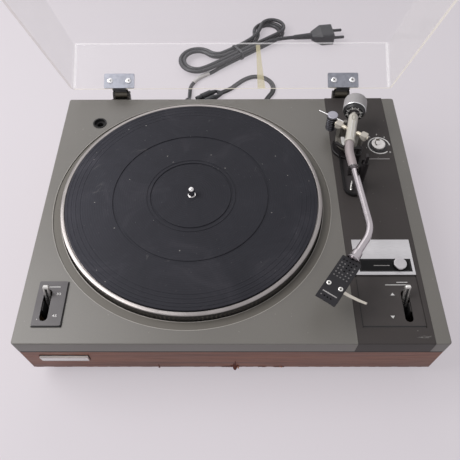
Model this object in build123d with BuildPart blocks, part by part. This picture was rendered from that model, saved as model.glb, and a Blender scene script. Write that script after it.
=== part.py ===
from build123d import *
import math
import os

os.makedirs("parts", exist_ok=True)

# Belt-drive record player with an S-shaped tonearm, a hinged clear lid and its cords.
# Frame: +X right, +Y back, +Z up, the floor under the feet is z = 0 and x = 0 is mid-width.

# Platter and the deck around it
platter_r = 148.7
platter_above_deck = 10.3
platter_side_h = 19.0
platter_wall = 5.0
platter_web = 3.0
deck_left_margin = 22.8
platter_gap = 20.4
panel_w = 76.0
panel_margin = 15.5
deck_front_margin = 25.3
deck_back_margin = 20.1
rim_h = 20.0
deck_plate_t = 4.0
deck_wall = 4.0
deck_edge_r = 1.4
deck_corner_r = 3.0
well_gap = 1.5
well_floor_t = 3.0
well_wall = 3.0
well_depth = 13.0
ledge_w = 9.3
ledge_depth = 1.0

# Wooden plinth and what it stands on
wood_h = 50.5
wood_t = 12.0
wood_inset = 1.0
bottom_t = 4.0
bottom_gap = 0.3
block_side = 30.0
block_top_gap = 1.0
foot_h = 18.8
foot_pad_h = 6.0
foot_r = 23.0
foot_top_r = 20.0
foot_pad_r = 18.0
foot_in = 52.0
foot_spigot_r = 9.0
foot_spigot_h = 5.0
foot_fit = 0.3
screw_head_r = 3.4
screw_head_h = 1.8
screw_shank_r = 1.5
screw_shank_l = 9.0
screw_in = 14.0

# Running and seating clearances
run_gap = 0.05
seat_gap = 0.3
overrun = 1.0

# Lid and its hinges
lid_side_inset = 4.6
lid_front_inset = 5.0
lid_back_inset = 4.0
lid_wall = 3.0
lid_h = 64.0
lid_corner_r = 5.0
lid_edge_r = 1.2
lid_rim_gap = 1.2
lid_open_deg = 64.2
hinge_back = 9.5
hinge_pitch = 295.0
hinge_plate_w = 40.0
hinge_plate_h = 20.0
hinge_plate_t = 1.6
hinge_pin_r = 2.5
hinge_barrel_r = 4.5
hinge_barrel_w = 16.0
hinge_ear_t = 3.0
hinge_ear_gap = 0.3
hinge_bracket_h = 34.0
hinge_bracket_t = 3.0
hinge_screw_r = 4.0
hinge_screw_pitch = 24.0
hinge_screw_h = 1.6
hinge_notch_gap = 0.5

# Arm side of the deck
arm_panel_t = 3.0
arm_panel_proud = 0.3
arm_panel_lip_t = 2.0
cue_plate_left = 6.9
cue_plate_l = 58.0
cue_plate_t = 2.0
cue_plate_right = 5.6
cue_plate_front = 17.3
name_plate_left = 7.7
name_plate_l = 43.5
name_plate_t = 0.8
name_plate_gap = 0.6
inlay_left = 4.4
inlay_l = 15.6
inlay_depth = 0.3
inlay_right = 2.7
inlay_front = 3.7
button_r = 6.8
button_h = 2.6
button_edge_share = 0.2
button_stem_r = 4.0
button_travel = 2.0
button_in = 12.85
knob_r = 8.6
knob_h = 3.2
knob_skirt_r = 11.0
knob_skirt_h = 1.0
knob_stem_r = 3.0
knob_stem_l = 12.0
knob_right = 17.6
knob_back = 84.9
knob_pointer_w = 3.0

# Lever of both control plates
lever_lean_deg = 22.5
lever_pivot_depth = 24.0
lever_reach = 41.0
lever_w = 6.0
lever_t = 3.2
lever_hub_r = 4.0
lever_axle_r = 1.5
lever_slot_w = 8.4
lever_slot_l = 35.0
lever_lug_t = 3.0
lever_lug_w = 10.0
lever_lug_gap = 0.3
lever_groove_w = 2.0
lever_groove_depth = 0.8
speed_plate_w = 29.4
speed_plate_l = 49.5
speed_plate_t = 2.0
speed_plate_left = 16.9
speed_plate_front = 18.5
speed_lever_left = 27.9
cue_lever_right = 20.9
lever_front = 41.0
plate_corner_r = 1.6

# Small fittings on the deck and the plinth
socket_r = 8.7
socket_hole_r = 4.2
socket_depth = 12.0
socket_flange_t = 0.8
socket_left = 46.5
socket_back = 44.7
badge_w = 49.8
badge_h = 9.8
badge_t = 2.6
badge_left = 17.4
badge_down = 14.4
badge_slant = 1.0

# Drive under the platter
mat_edge = 5.2
mat_t = 3.6
mat_proud = 0.9
mat_groove_share = 0.6167
mat_groove_w = 3.0
mat_inner_groove_share = 0.3206
mat_inner_groove_w = 2.4
mat_groove_depth = 0.9
mat_fine_groove_w = 1.0
spindle_r = 3.6
spindle_shaft_r = 4.4
spindle_dome_share = 0.8
spindle_above_mat = 12.0
spindle_below_deck = 46.0
hub_r = 12.0
hub_gap = 0.3
bearing_r = 8.0
bearing_flange_r = 17.0
bearing_flange_t = 2.4
bearing_cap_t = 3.0
drive_ring_share = 0.6187
drive_ring_wall = 3.0
pulley_r = 5.6
pulley_step = 1.5
pulley_band_h = 4.0
pulley_flange_r = 8.0
pulley_flange_t = 0.8
motor_shaft_r = 1.5
motor_out = 30.0
motor_angle_deg = 222.0
motor_r = 29.0
motor_h = 34.0
motor_lug_r = 36.0
motor_lug_end_r = 6.0
motor_plate_t = 2.0
belt_t = 0.8
belt_h = 3.6
belt_gap = 0.3
shifter_travel = 4.0
shifter_rod_r = 1.4
shifter_bar_t = 1.6
shifter_offset = 15.0
return_gear_teeth = 60
hub_gear_teeth = 24
gear_module = 1.0
gear_t = 2.4
gear_gap_deg = 44.0
gear_post_r = 3.0
gear_angle_deg = 25.0

# Tonearm, drawn around its pivot point in a frame turned to the gimbal axis
pivot_right = 57.0
pivot_back = 89.5
pivot_h = 32.0
gimbal_deg = 35.0
arm_rise_deg = 1.6
arm_splay_deg = 21.7
sleeve_r = 5.8
sleeve_back = 29.0
sleeve_front = 21.0
stub_r = 4.0
tube_r = 5.0
thin_tube_r = 4.0
tube_wall = 0.8
elbow_run = 32.3
elbow_r = 60.0
bend_x = 84.7
bend_y = 118.2
bend_r = 38.0
nut_y = 153.0
collar_run = 60.0
collar_r = 5.6
collar_w = 3.4
nut_r = 6.2
nut_l = 8.0
weight_r = 14.0
weight_l = 18.0
weight_travel = 4.0
dial_l = 4.6
dial_front_r = 11.5
block_w = 8.0
block_l = 8.0
block_h = 6.5
block_pitch = 33.0
pivot_pin_r = 1.5
pivot_pin_depth = 1.6
pivot_screw_r = 2.6
yoke_disc_r = 16.5
yoke_disc_t = 3.0
yoke_disc_up = 13.0
yoke_arm_t = 4.0
yoke_shaft_r = 4.0
column_r = 12.0
column_base_r = 19.0
column_base_h = 6.0
column_below = 26.0
base_end_y = 62.9
base_half_w = 12.0
base_shift = 0.7
base_h = 3.0
base_wall = 1.8
base_floor_t = 1.2
head_w = 21.0
head_l = 55.0
head_t = 3.4
head_wall = 1.4
head_skirt = 4.6
cartridge_side = 2.5
cartridge_share = 0.491
cartridge_h = 13.0
cartridge_back_share = 0.2364
stylus_l = 11.0
stylus_w = 6.0
stylus_tip_r = 0.9
stylus_tip_l = 3.0
lift_w = 5.0
lift_l = 23.0
lift_t = 1.3
lift_tip_w = 3.2
lift_skew = 2.8
record_t = 1.6
lift_back_share = 0.6727
head_screw_r = 2.4
head_screw_h = 1.6
head_screw_shank_r = 1.1
head_screw_side_share = 0.3
head_screw_share = 0.669
rod_r = 1.0
rod_end_l = 6.3
rod_back = 9.3
rod_down = 2.0
rod_post_r = 2.4
rod_post_x = 13.0
side_weight_r = 6.4
side_weight_h = 23.0
side_weight_x = 30.3
side_weight_above = 3.6
side_weight_travel = 6.0
lift_column_r = 4.6
lift_column_h = 17.0
lift_bar_ring_r = 22.2
lift_bar_w = 3.2
lift_bar_t = 2.4
lift_piston_r = 1.6
lift_travel = 6.0
lift_from_deg = 212.0
lift_column_deg = 289.5
rest_post_r = 4.4
rest_shelf_t = 2.4
rest_shelf_w = 6.0
rest_side = 11.4
latch_l = 12.0
latch_t = 3.0
latch_w = 4.6
latch_axle_r = 1.2

# Cords that lie behind the deck
mains_r = 3.0
mains_exit_x = -66.0
mains_exit_up = 23.2
relief_r = 5.4
relief_tip_r = 3.9
relief_l = 26.0
relief_neck_r = 4.6
waist_x = 11.0
waist_y = 202.0
hank_deg = 36.0
hank_gap = 0.7
hank_run = 20.0
hank_right = (78.0, 16.0, 25.0)
hank_left = (-66.0, 26.0, 25.0)
hank_top_left = (-68.0, 20.0, 22.0)
hank_top_right = (86.0, 16.0, 20.0)
near_drop = [
    (0.0, 44.0, 42.0),
    (0.0, 60.0, 34.0),
    (0.0, 73.0, 20.5),
    (0.0, 87.0, 8.5),
    (0.0, 104.0, 3.0),
]
near_floor = [(-107.6, -17.0, 3.0), (-84.5, -9.4, 3.0), (-61.0, -12.0, 3.5)]
near_end_run = 19.0
plug_route = [
    (58.0, -11.6, 10.8),
    (73.0, -15.2, 10.4),
    (86.0, -20.6, 10.0),
    (99.0, -27.8, 10.0),
]
plug_run = 20.0
corner_share = 0.45
tie_t = 0.9
tie_w = 4.0
plug_relief_l = 30.0
plug_w = 34.0
plug_h = 20.0
plug_l = 20.0
plug_taper_l = 16.0
plug_pin_r = 2.4
plug_pin_l = 19.0
plug_pin_pitch = 19.0
plug_corner_r = 4.0
signal_route = [
    (0.0, 26.0, 34.0),
    (0.5, 44.0, 25.0),
    (2.0, 60.0, 11.0),
    (5.0, 80.0, 3.0),
    (14.0, 98.5, 2.4),
    (22.3, 110.4, 2.4),
    (23.6, 124.9, 2.4),
    (17.4, 138.0, 2.4),
    (5.6, 146.3, 2.4),
    (-8.9, 147.6, 2.4),
    (-23.0, 140.5, 2.4),
    (-35.0, 129.0, 2.4),
    (-46.0, 117.0, 2.4),
    (-59.0, 109.0, 3.0),
]
signal_w = 8.0
signal_t = 4.0
signal_exit_x = 44.0
signal_exit_up = 15.2
signal_relief_w = 13.0
signal_relief_t = 8.0
signal_relief_l = 8.0
phono_r = 5.4
phono_l = 26.0
phono_tip_r = 4.4
phono_tip_l = 9.0
phono_boot_l = 9.0
phono_pitch = 11.6
phono_join_l = 8.0
phono_boot_r = 2.6

# Shares of other sizes
drive_flange_share = 0.08
gear_root_share = 1.25
lug_start_deg = 60.0
lug_step_deg = 120.0
quarter_turn = 90.0
half_turn = 180.0
full_turn = 360.0
fork_share = 0.8
prong_share = 0.8
head_pocket_share = 0.72
head_pocket_mid_share = 0.52
head_grid_share = 0.2664
head_holes_share = 0.922
head_holes_side_share = 0.078
head_grid_x_share = 0.1643
head_grid_y_share = 0.0745
head_holes_x_share = 0.16
head_grid_counts = (5, 6)
head_holes_counts = (4, 1)
latch_hub_share = 0.7
lid_top_edge_count = 8
plug_shoulder_share = 1.5
phono_pin_share = 1.5

# Places that follow from the sizes
mat_r = platter_r - mat_edge
stub_l = seat_gap + dial_l + run_gap + weight_l + weight_travel
rod_l = side_weight_x - rod_post_x + side_weight_r + side_weight_travel + rod_end_l
mat_groove_r = mat_r * mat_groove_share
mat_inner_groove_r = mat_r * mat_inner_groove_share
drive_ring_r = platter_r * drive_ring_share
motor_dist = drive_ring_r + motor_out
cue_plate_w = panel_w - cue_plate_left - cue_plate_right
name_plate_w = panel_w - name_plate_left - cue_plate_right
inlay_w = name_plate_w - inlay_left - inlay_right
cartridge_w = head_w - 2 * cartridge_side
cartridge_l = head_l * cartridge_share
cartridge_back = head_l * cartridge_back_share
lift_back = head_l * lift_back_share
head_screw_side = head_w * head_screw_side_share
head_screw_back = head_l * head_screw_share
deck_w = deck_left_margin + 2 * platter_r + platter_gap + panel_w + panel_margin
deck_d = deck_front_margin + 2 * platter_r + deck_back_margin
deck_top = foot_h + wood_h + rim_h
wood_top = foot_h + wood_h
left_x = -deck_w / 2
lid_open = math.radians(lid_open_deg)
lid_back_y = -(hinge_back + lid_back_inset)
lid_top_z = lid_rim_gap + lid_h
lid_reach = lid_back_y * math.cos(lid_open) + lid_top_z * math.sin(lid_open)
front_y = -(deck_d + hinge_back + lid_reach) / 2
back_y = front_y + deck_d
mid_y = (front_y + back_y) / 2
platter_x = left_x + deck_left_margin + platter_r
platter_y = front_y + deck_front_margin + platter_r
panel_left = platter_x + platter_r + platter_gap
panel_right = panel_left + panel_w
panel_x = (panel_left + panel_right) / 2
panel_top = deck_top + arm_panel_proud
well_r = platter_r + well_gap
well_floor = deck_top - well_depth
platter_top = deck_top + platter_above_deck
mat_top = platter_top + mat_proud
mat_seat = mat_top - mat_t
web_bottom = mat_seat - platter_web
pivot_x = panel_right - pivot_right
pivot_y = back_y - pivot_back
pivot_z = deck_top + pivot_h
lever_y = front_y + lever_front
lever_z = deck_top - lever_pivot_depth
knob_x = panel_right - knob_right
knob_y = back_y - knob_back
cue_left = panel_right - cue_plate_right - cue_plate_w
cue_x = cue_left + cue_plate_w / 2
cue_front = front_y + cue_plate_front
cue_back = cue_front + cue_plate_l
cue_y = (cue_front + cue_back) / 2
cue_lever_x = panel_right - cue_lever_right
name_front = cue_back + name_plate_gap
name_y = name_front + name_plate_l / 2
name_x = panel_right - cue_plate_right - name_plate_w / 2
inlay_x = name_x + name_plate_w / 2 - inlay_right - inlay_w / 2
inlay_y = name_front + inlay_front + inlay_l / 2
button_x = inlay_x + inlay_w / 2 - button_in
speed_x = left_x + speed_plate_left + speed_plate_w / 2
speed_y = front_y + speed_plate_front + speed_plate_l / 2
speed_lever_x = left_x + speed_lever_left
socket_x = left_x + socket_left
socket_y = back_y - socket_back
hinge_y = back_y + hinge_back
hinge_z = deck_top


def finish(part, name):
    part.label = name
    export_step(part, "parts/" + name + ".step")


def turned(x, y, deg):
    c, s = math.cos(math.radians(deg)), math.sin(math.radians(deg))
    return x * c - y * s, x * s + y * c


# Cabinet: four mitred boards with glued blocks in the corners
wood_x = deck_w / 2 - wood_inset
wood_front = front_y + wood_inset
wood_back = back_y - wood_inset
inner_x = wood_x - wood_t
inner_front = wood_front + wood_t
inner_back = wood_back - wood_t
corner_signs = ((-1, -1), (1, -1), (1, 1), (-1, 1))
outer_y = {-1: wood_front, 1: wood_back}
inner_y = {-1: inner_front, 1: inner_back}
outer_corners = [(sx * wood_x, outer_y[sy]) for sx, sy in corner_signs]
inner_corners = [(sx * inner_x, inner_y[sy]) for sx, sy in corner_signs]


def board_outline(a, b):
    return [outer_corners[a], outer_corners[b], inner_corners[b], inner_corners[a]]


board_outlines = {
    "plinth_front": board_outline(0, 1),
    "plinth_right": board_outline(1, 2),
    "plinth_left": board_outline(3, 0),
}
for name, outline in board_outlines.items():
    with BuildPart() as board:
        with BuildSketch(Plane.XY.offset(foot_h)):
            with BuildLine():
                Polyline(*outline, close=True)
            make_face()
        extrude(amount=wood_h)
    finish(board.part, name)

# Back board, with the holes where the two cords leave
mains_exit_z = foot_h + mains_exit_up
signal_exit_z = foot_h + signal_exit_up
with BuildPart() as plinth_back:
    with BuildSketch(Plane.XY.offset(foot_h)):
        with BuildLine():
            Polyline(*board_outline(2, 3), close=True)
        make_face()
    extrude(amount=wood_h)
    with BuildSketch(Plane.XZ.offset(-wood_back - overrun)):
        with Locations((mains_exit_x, mains_exit_z)):
            Circle(relief_neck_r + seat_gap)
        with Locations((signal_exit_x, signal_exit_z)):
            Rectangle(signal_w + 2 * seat_gap, signal_t + 2 * seat_gap)
    extrude(amount=wood_t + 2 * overrun, mode=Mode.SUBTRACT)
finish(plinth_back.part, "plinth_back")

block_bottom = foot_h + bottom_t
block_top = wood_top - block_top_gap
screws_at = [(sx * (inner_x - screw_in), inner_y[sy] - sy * screw_in / 2) for sx, sy in corner_signs]
with BuildPart() as corner_blocks:
    for sx, sy in corner_signs:
        x0, y0 = sx * inner_x, inner_y[sy]
        with BuildSketch(Plane.XY.offset(block_bottom)):
            with BuildLine():
                Polyline((x0, y0), (x0 - sx * block_side, y0), (x0, y0 - sy * block_side), close=True)
            make_face()
        extrude(amount=block_top - block_bottom)
    with Locations(*[(x, y, block_bottom) for x, y in screws_at]):
        Hole(screw_shank_r + run_gap, depth=screw_shank_l)
finish(corner_blocks.part, "corner_blocks")

# Bottom board, its screws, and four isolating feet with rubber soles
board_w = 2 * (inner_x - bottom_gap)
board_d = inner_back - inner_front - 2 * bottom_gap
foot_y = {-1: wood_front + foot_in, 1: wood_back - foot_in}
feet_at = [(sx * (wood_x - foot_in), foot_y[sy]) for sx, sy in corner_signs]
with BuildPart() as bottom_board:
    with BuildSketch(Plane.XY.offset(foot_h)):
        with Locations((0, mid_y)):
            Rectangle(board_w, board_d)
        with Locations(*screws_at):
            Circle(screw_shank_r + run_gap, mode=Mode.SUBTRACT)
        with Locations(*feet_at):
            Circle(screw_shank_r + run_gap, mode=Mode.SUBTRACT)
    extrude(amount=bottom_t)
finish(bottom_board.part, "bottom_board")

with BuildPart() as bottom_screws:
    for x, y in screws_at:
        with BuildSketch(Plane.XY.offset(foot_h - screw_head_h)):
            with Locations((x, y)):
                Circle(screw_head_r)
        extrude(amount=screw_head_h)
        with BuildSketch(Plane.XY.offset(foot_h)):
            with Locations((x, y)):
                Circle(screw_shank_r)
        extrude(amount=bottom_t + screw_shank_l - screw_head_h)
finish(bottom_screws.part, "bottom_screws")

with BuildPart() as feet:
    for x, y in feet_at:
        with BuildSketch(Plane.XY.offset(foot_pad_h)):
            with Locations((x, y)):
                Circle(foot_r)
        with BuildSketch(Plane.XY.offset(foot_h)):
            with Locations((x, y)):
                Circle(foot_top_r)
        loft()
        with BuildSketch(Plane.XY.offset(foot_h)):
            with Locations((x, y)):
                Circle(screw_shank_r)
        extrude(amount=bottom_t)
        with BuildSketch(Plane.XY.offset(foot_pad_h)):
            with Locations((x, y)):
                Circle(foot_spigot_r + foot_fit)
        extrude(amount=foot_spigot_h + foot_fit, mode=Mode.SUBTRACT)
finish(feet.part, "feet")

with BuildPart() as foot_pads:
    for x, y in feet_at:
        with BuildSketch(Plane.XY):
            with Locations((x, y)):
                Circle(foot_pad_r)
        extrude(amount=foot_pad_h)
        with BuildSketch(Plane.XY.offset(foot_pad_h)):
            with Locations((x, y)):
                Circle(foot_spigot_r)
        extrude(amount=foot_spigot_h)
finish(foot_pads.part, "foot_pads")

# Deck: a shallow tray turned over, with the well that the platter runs in
lug_w = 2 * (lever_lug_t + lever_lug_gap) + lever_w
motor_x = platter_x + motor_dist * math.cos(math.radians(motor_angle_deg))
motor_y = platter_y + motor_dist * math.sin(math.radians(motor_angle_deg))
motor_lugs = [turned(motor_lug_r, 0, motor_angle_deg + lug_start_deg + lug_step_deg * k) for k in range(3)]
gear_dist = gear_module * (return_gear_teeth + hub_gear_teeth) / 2
gear_x = platter_x + gear_dist * math.cos(math.radians(gear_angle_deg))
gear_y = platter_y + gear_dist * math.sin(math.radians(gear_angle_deg))
gear_bottom = well_floor + bearing_flange_t + hub_gap
shifter_x = motor_x + shifter_offset * math.cos(math.radians(motor_angle_deg))
shifter_y = motor_y + shifter_offset * math.sin(math.radians(motor_angle_deg))
lift_column_x, lift_column_y = turned(lift_bar_ring_r, 0, lift_column_deg)
lift_column_x += pivot_x
lift_column_y += pivot_y
with BuildPart() as deck_panel:
    with BuildSketch(Plane.XY.offset(wood_top)):
        with Locations((0, mid_y)):
            RectangleRounded(deck_w, deck_d, deck_corner_r)
    extrude(amount=rim_h)
    fillet(deck_panel.faces().sort_by(Axis.Z)[-1].edges(), radius=deck_edge_r)
    with BuildSketch(Plane.XY.offset(wood_top)):
        with Locations((0, mid_y)):
            Rectangle(deck_w - 2 * deck_wall, deck_d - 2 * deck_wall)
        with Locations((platter_x, platter_y)):
            Circle(well_r + well_wall, mode=Mode.SUBTRACT)
    extrude(amount=rim_h - deck_plate_t, mode=Mode.SUBTRACT)
    with BuildSketch(Plane.XY.offset(wood_top)):
        with Locations((platter_x, platter_y)):
            Circle(well_r + well_wall)
    extrude(amount=well_floor - well_floor_t - wood_top, mode=Mode.SUBTRACT)
    with BuildSketch(Plane.XY.offset(well_floor)):
        with Locations((platter_x, platter_y)):
            Circle(well_r)
    extrude(amount=well_depth + overrun, mode=Mode.SUBTRACT)
    with BuildSketch(Plane.XY.offset(deck_top - ledge_depth)):
        with Locations((platter_x, platter_y)):
            Circle(well_r + ledge_w)
    extrude(amount=ledge_depth + overrun, mode=Mode.SUBTRACT)
    with BuildSketch(Plane.XY.offset(deck_top - arm_panel_t)):
        with Locations((panel_x, mid_y)):
            Rectangle(panel_w, deck_d + 2 * overrun)
    extrude(amount=arm_panel_t + overrun, mode=Mode.SUBTRACT)
    with BuildSketch(Plane.XY.offset(wood_top - overrun)):
        with Locations((panel_x, front_y)):
            Rectangle(panel_w, 2 * arm_panel_lip_t)
    extrude(amount=rim_h + 2 * overrun, mode=Mode.SUBTRACT)
    with BuildSketch(Plane.XY.offset(wood_top - overrun)):
        with Locations((platter_x, platter_y)):
            Circle(bearing_r + seat_gap)
        with Locations((motor_x, motor_y)):
            Circle(pulley_flange_r + shifter_offset)
        with Locations((speed_lever_x, lever_y)):
            Rectangle(lug_w + 2 * seat_gap, lever_slot_l + 2 * seat_gap)
        with Locations((cue_lever_x, lever_y)):
            Rectangle(lug_w + 2 * seat_gap, lever_slot_l + 2 * seat_gap)
        with Locations((button_x, inlay_y)):
            Circle(button_stem_r + run_gap)
        with Locations((knob_x, knob_y)):
            Circle(knob_stem_r + run_gap)
        with Locations((socket_x, socket_y)):
            Circle(socket_r - socket_flange_t + seat_gap)
        with Locations((pivot_x, pivot_y)):
            Circle(column_r + seat_gap)
        with Locations((lift_column_x, lift_column_y)):
            Circle(lift_column_r + seat_gap)
    extrude(amount=rim_h + 2 * overrun, mode=Mode.SUBTRACT)
    with BuildSketch(Plane.XY.offset(well_floor)):
        with Locations((gear_x, gear_y)):
            Circle(2 * gear_post_r)
    extrude(amount=gear_bottom - run_gap - well_floor)
    with BuildSketch(Plane.XY.offset(well_floor)):
        with Locations((gear_x, gear_y)):
            Circle(gear_post_r)
    extrude(amount=gear_bottom + gear_t + seat_gap - well_floor)
finish(deck_panel.part, "deck_panel")

# Arm panel: the dark strip that laps over the front edge, and what is set into it
with BuildPart() as arm_panel:
    with BuildSketch(Plane.XY.offset(deck_top - arm_panel_t)):
        with Locations((panel_x, mid_y)):
            Rectangle(panel_w - 2 * seat_gap, deck_d)
    extrude(amount=arm_panel_t + arm_panel_proud)
    with BuildSketch(Plane.XY.offset(wood_top)):
        with Locations((panel_x, front_y + arm_panel_lip_t / 2)):
            Rectangle(panel_w - 2 * seat_gap, arm_panel_lip_t)
    extrude(amount=rim_h + arm_panel_proud)
    lip_edges = arm_panel.edges().filter_by(Axis.X).group_by(Axis.Z)[-1].sort_by(Axis.Y)
    fillet(lip_edges[0], radius=deck_edge_r)
    with BuildSketch(Plane.XY.offset(deck_top - arm_panel_t - overrun)):
        with Locations((cue_x, cue_y)):
            Rectangle(cue_plate_w + 2 * seat_gap, cue_plate_l + 2 * seat_gap)
        with Locations((button_x, inlay_y)):
            Circle(button_stem_r + seat_gap)
        with Locations((knob_x, knob_y)):
            Circle(knob_stem_r + run_gap)
        with Locations((pivot_x, pivot_y)):
            Circle(column_r + seat_gap)
        with Locations((lift_column_x, lift_column_y)):
            Circle(lift_column_r + seat_gap)
    extrude(amount=arm_panel_t + arm_panel_proud + 2 * overrun, mode=Mode.SUBTRACT)
finish(arm_panel.part, "arm_panel")

with BuildPart() as name_plate:
    with BuildSketch(Plane.XY.offset(panel_top)):
        with Locations((name_x, name_y)):
            Rectangle(name_plate_w, name_plate_l)
    extrude(amount=name_plate_t)
    with BuildSketch(Plane.XY.offset(panel_top + name_plate_t - inlay_depth)):
        with Locations((inlay_x, inlay_y)):
            Rectangle(inlay_w, inlay_l)
    extrude(amount=name_plate_t, mode=Mode.SUBTRACT)
    with BuildSketch(Plane.XY.offset(panel_top)):
        with Locations((button_x, inlay_y)):
            Circle(button_stem_r + seat_gap)
    extrude(amount=name_plate_t, mode=Mode.SUBTRACT)
finish(name_plate.part, "name_plate")

button_bottom = panel_top + name_plate_t + button_travel + seat_gap
with BuildPart() as return_button:
    with BuildSketch(Plane.XY.offset(button_bottom)):
        with Locations((button_x, inlay_y)):
            Circle(button_r)
    extrude(amount=button_h)
    fillet(return_button.edges().sort_by(Axis.Z)[-1], radius=button_h * button_edge_share)
    with BuildSketch(Plane.XY.offset(button_bottom)):
        with Locations((button_x, inlay_y)):
            Circle(button_stem_r)
    extrude(amount=-(button_travel + arm_panel_t + deck_plate_t + button_h))
finish(return_button.part, "return_button")

# Control plates: each carries its lever between two lugs under the deck
lever_plane = Plane(
    origin=(0, lever_y, lever_z),
    x_dir=(1, 0, 0),
    z_dir=(0, math.sin(math.radians(lever_lean_deg)), math.cos(math.radians(lever_lean_deg))),
)
lug_x = lever_w / 2 + lever_lug_gap + lever_lug_t / 2
axle_l = lever_w + 2 * (lever_lug_gap + lever_lug_t)


def control_plate(name, centre, size, bottom, thick, lever_x):
    with BuildPart() as plate:
        with BuildSketch(Plane.XY.offset(bottom)):
            with Locations(centre):
                RectangleRounded(size[0], size[1], plate_corner_r)
        extrude(amount=thick)
        with BuildSketch(Plane.XY.offset(bottom)):
            with Locations((lever_x, lever_y)):
                SlotOverall(lever_slot_l, lever_slot_w, rotation=quarter_turn)
        extrude(amount=thick, mode=Mode.SUBTRACT)
        with BuildSketch(Plane.XY.offset(bottom)):
            with Locations((lever_x - lug_x, lever_y), (lever_x + lug_x, lever_y)):
                Rectangle(lever_lug_t, lever_lug_w)
        extrude(amount=lever_z - lever_lug_w / 2 - bottom)
        with BuildSketch(Plane.YZ.offset(lever_x - axle_l)):
            with Locations((lever_y, lever_z)):
                Circle(lever_axle_r + run_gap)
        extrude(amount=2 * axle_l, mode=Mode.SUBTRACT)
    finish(plate.part, name)


def control_lever(name, lever_x):
    side = Plane.YZ.offset(lever_x - lever_w / 2)
    with BuildPart() as lever:
        with BuildSketch(lever_plane):
            with Locations((lever_x, 0)):
                RectangleRounded(lever_w, lever_t, lever_t / 3)
        extrude(amount=lever_reach)
        with BuildSketch(lever_plane.offset(lever_reach)):
            with Locations((lever_x, -lever_t / 2)):
                Rectangle(lever_groove_w, 2 * lever_groove_depth)
        extrude(amount=-lever_reach / 2, mode=Mode.SUBTRACT)
        with BuildSketch(side):
            with Locations((lever_y, lever_z)):
                Circle(lever_hub_r)
        extrude(amount=lever_w)
        with BuildSketch(Plane.YZ.offset(lever_x - axle_l / 2)):
            with Locations((lever_y, lever_z)):
                Circle(lever_axle_r)
        extrude(amount=axle_l)
    finish(lever.part, name)


cue_size = (cue_plate_w, cue_plate_l)
control_plate("cue_plate", (cue_x, cue_y), cue_size, deck_top - arm_panel_t, cue_plate_t, cue_lever_x)
control_lever("cue_lever", cue_lever_x)
speed_size = (speed_plate_w, speed_plate_l)
control_plate("speed_plate", (speed_x, speed_y), speed_size, deck_top, speed_plate_t, speed_lever_x)
control_lever("speed_lever", speed_lever_x)

# Socket that parks the adaptor for large-hole records
with BuildPart() as adaptor_socket:
    with BuildSketch(Plane.XY.offset(deck_top - socket_depth)):
        with Locations((socket_x, socket_y)):
            Circle(socket_r - socket_flange_t)
    extrude(amount=socket_depth)
    with BuildSketch(Plane.XY.offset(deck_top)):
        with Locations((socket_x, socket_y)):
            Circle(socket_r)
    extrude(amount=socket_flange_t)
    with BuildSketch(Plane.XY.offset(deck_top + socket_flange_t)):
        with Locations((socket_x, socket_y)):
            Circle(socket_r - 2 * socket_flange_t)
    extrude(amount=-socket_depth / 3, mode=Mode.SUBTRACT)
    with BuildSketch(Plane.XY.offset(deck_top + socket_flange_t)):
        with Locations((socket_x, socket_y)):
            Circle(socket_hole_r)
    extrude(amount=-socket_depth + socket_flange_t, mode=Mode.SUBTRACT)
finish(adaptor_socket.part, "adaptor_socket")

# Plain badge on the front board
badge_x = -wood_x + badge_left
badge_z = wood_top - badge_down
with BuildPart() as badge_plate:
    with BuildSketch(Plane.XZ.offset(-wood_front)):
        with BuildLine():
            Polyline(
                (badge_x, badge_z),
                (badge_x + badge_w, badge_z),
                (badge_x + badge_w, badge_z - badge_h),
                (badge_x + badge_slant, badge_z - badge_h),
                close=True,
            )
        make_face()
    extrude(amount=badge_t)
finish(badge_plate.part, "badge_plate")

# Gears of the automatic return
gear_add = gear_module
gear_ded = gear_root_share * gear_module
tooth_shares = (-0.36, -0.16, 0.16, 0.36)


def gear_outline(teeth, gap_deg, gap_at_deg):
    """Points of a gear's outline, with a toothless stretch as the return gear has."""
    pitch_r = gear_module * teeth / 2
    radii = (pitch_r - gear_ded, pitch_r + gear_add, pitch_r + gear_add, pitch_r - gear_ded)
    points = []
    for k in range(teeth):
        middle = gap_at_deg + half_turn + (k + 1 / 2) * full_turn / teeth
        off = abs((middle - gap_at_deg + half_turn) % full_turn - half_turn)
        for share, r in zip(tooth_shares, radii):
            reach = pitch_r - gear_ded if off < gap_deg / 2 else r
            points.append(turned(reach, 0, middle + share * full_turn / teeth))
    return points


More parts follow.
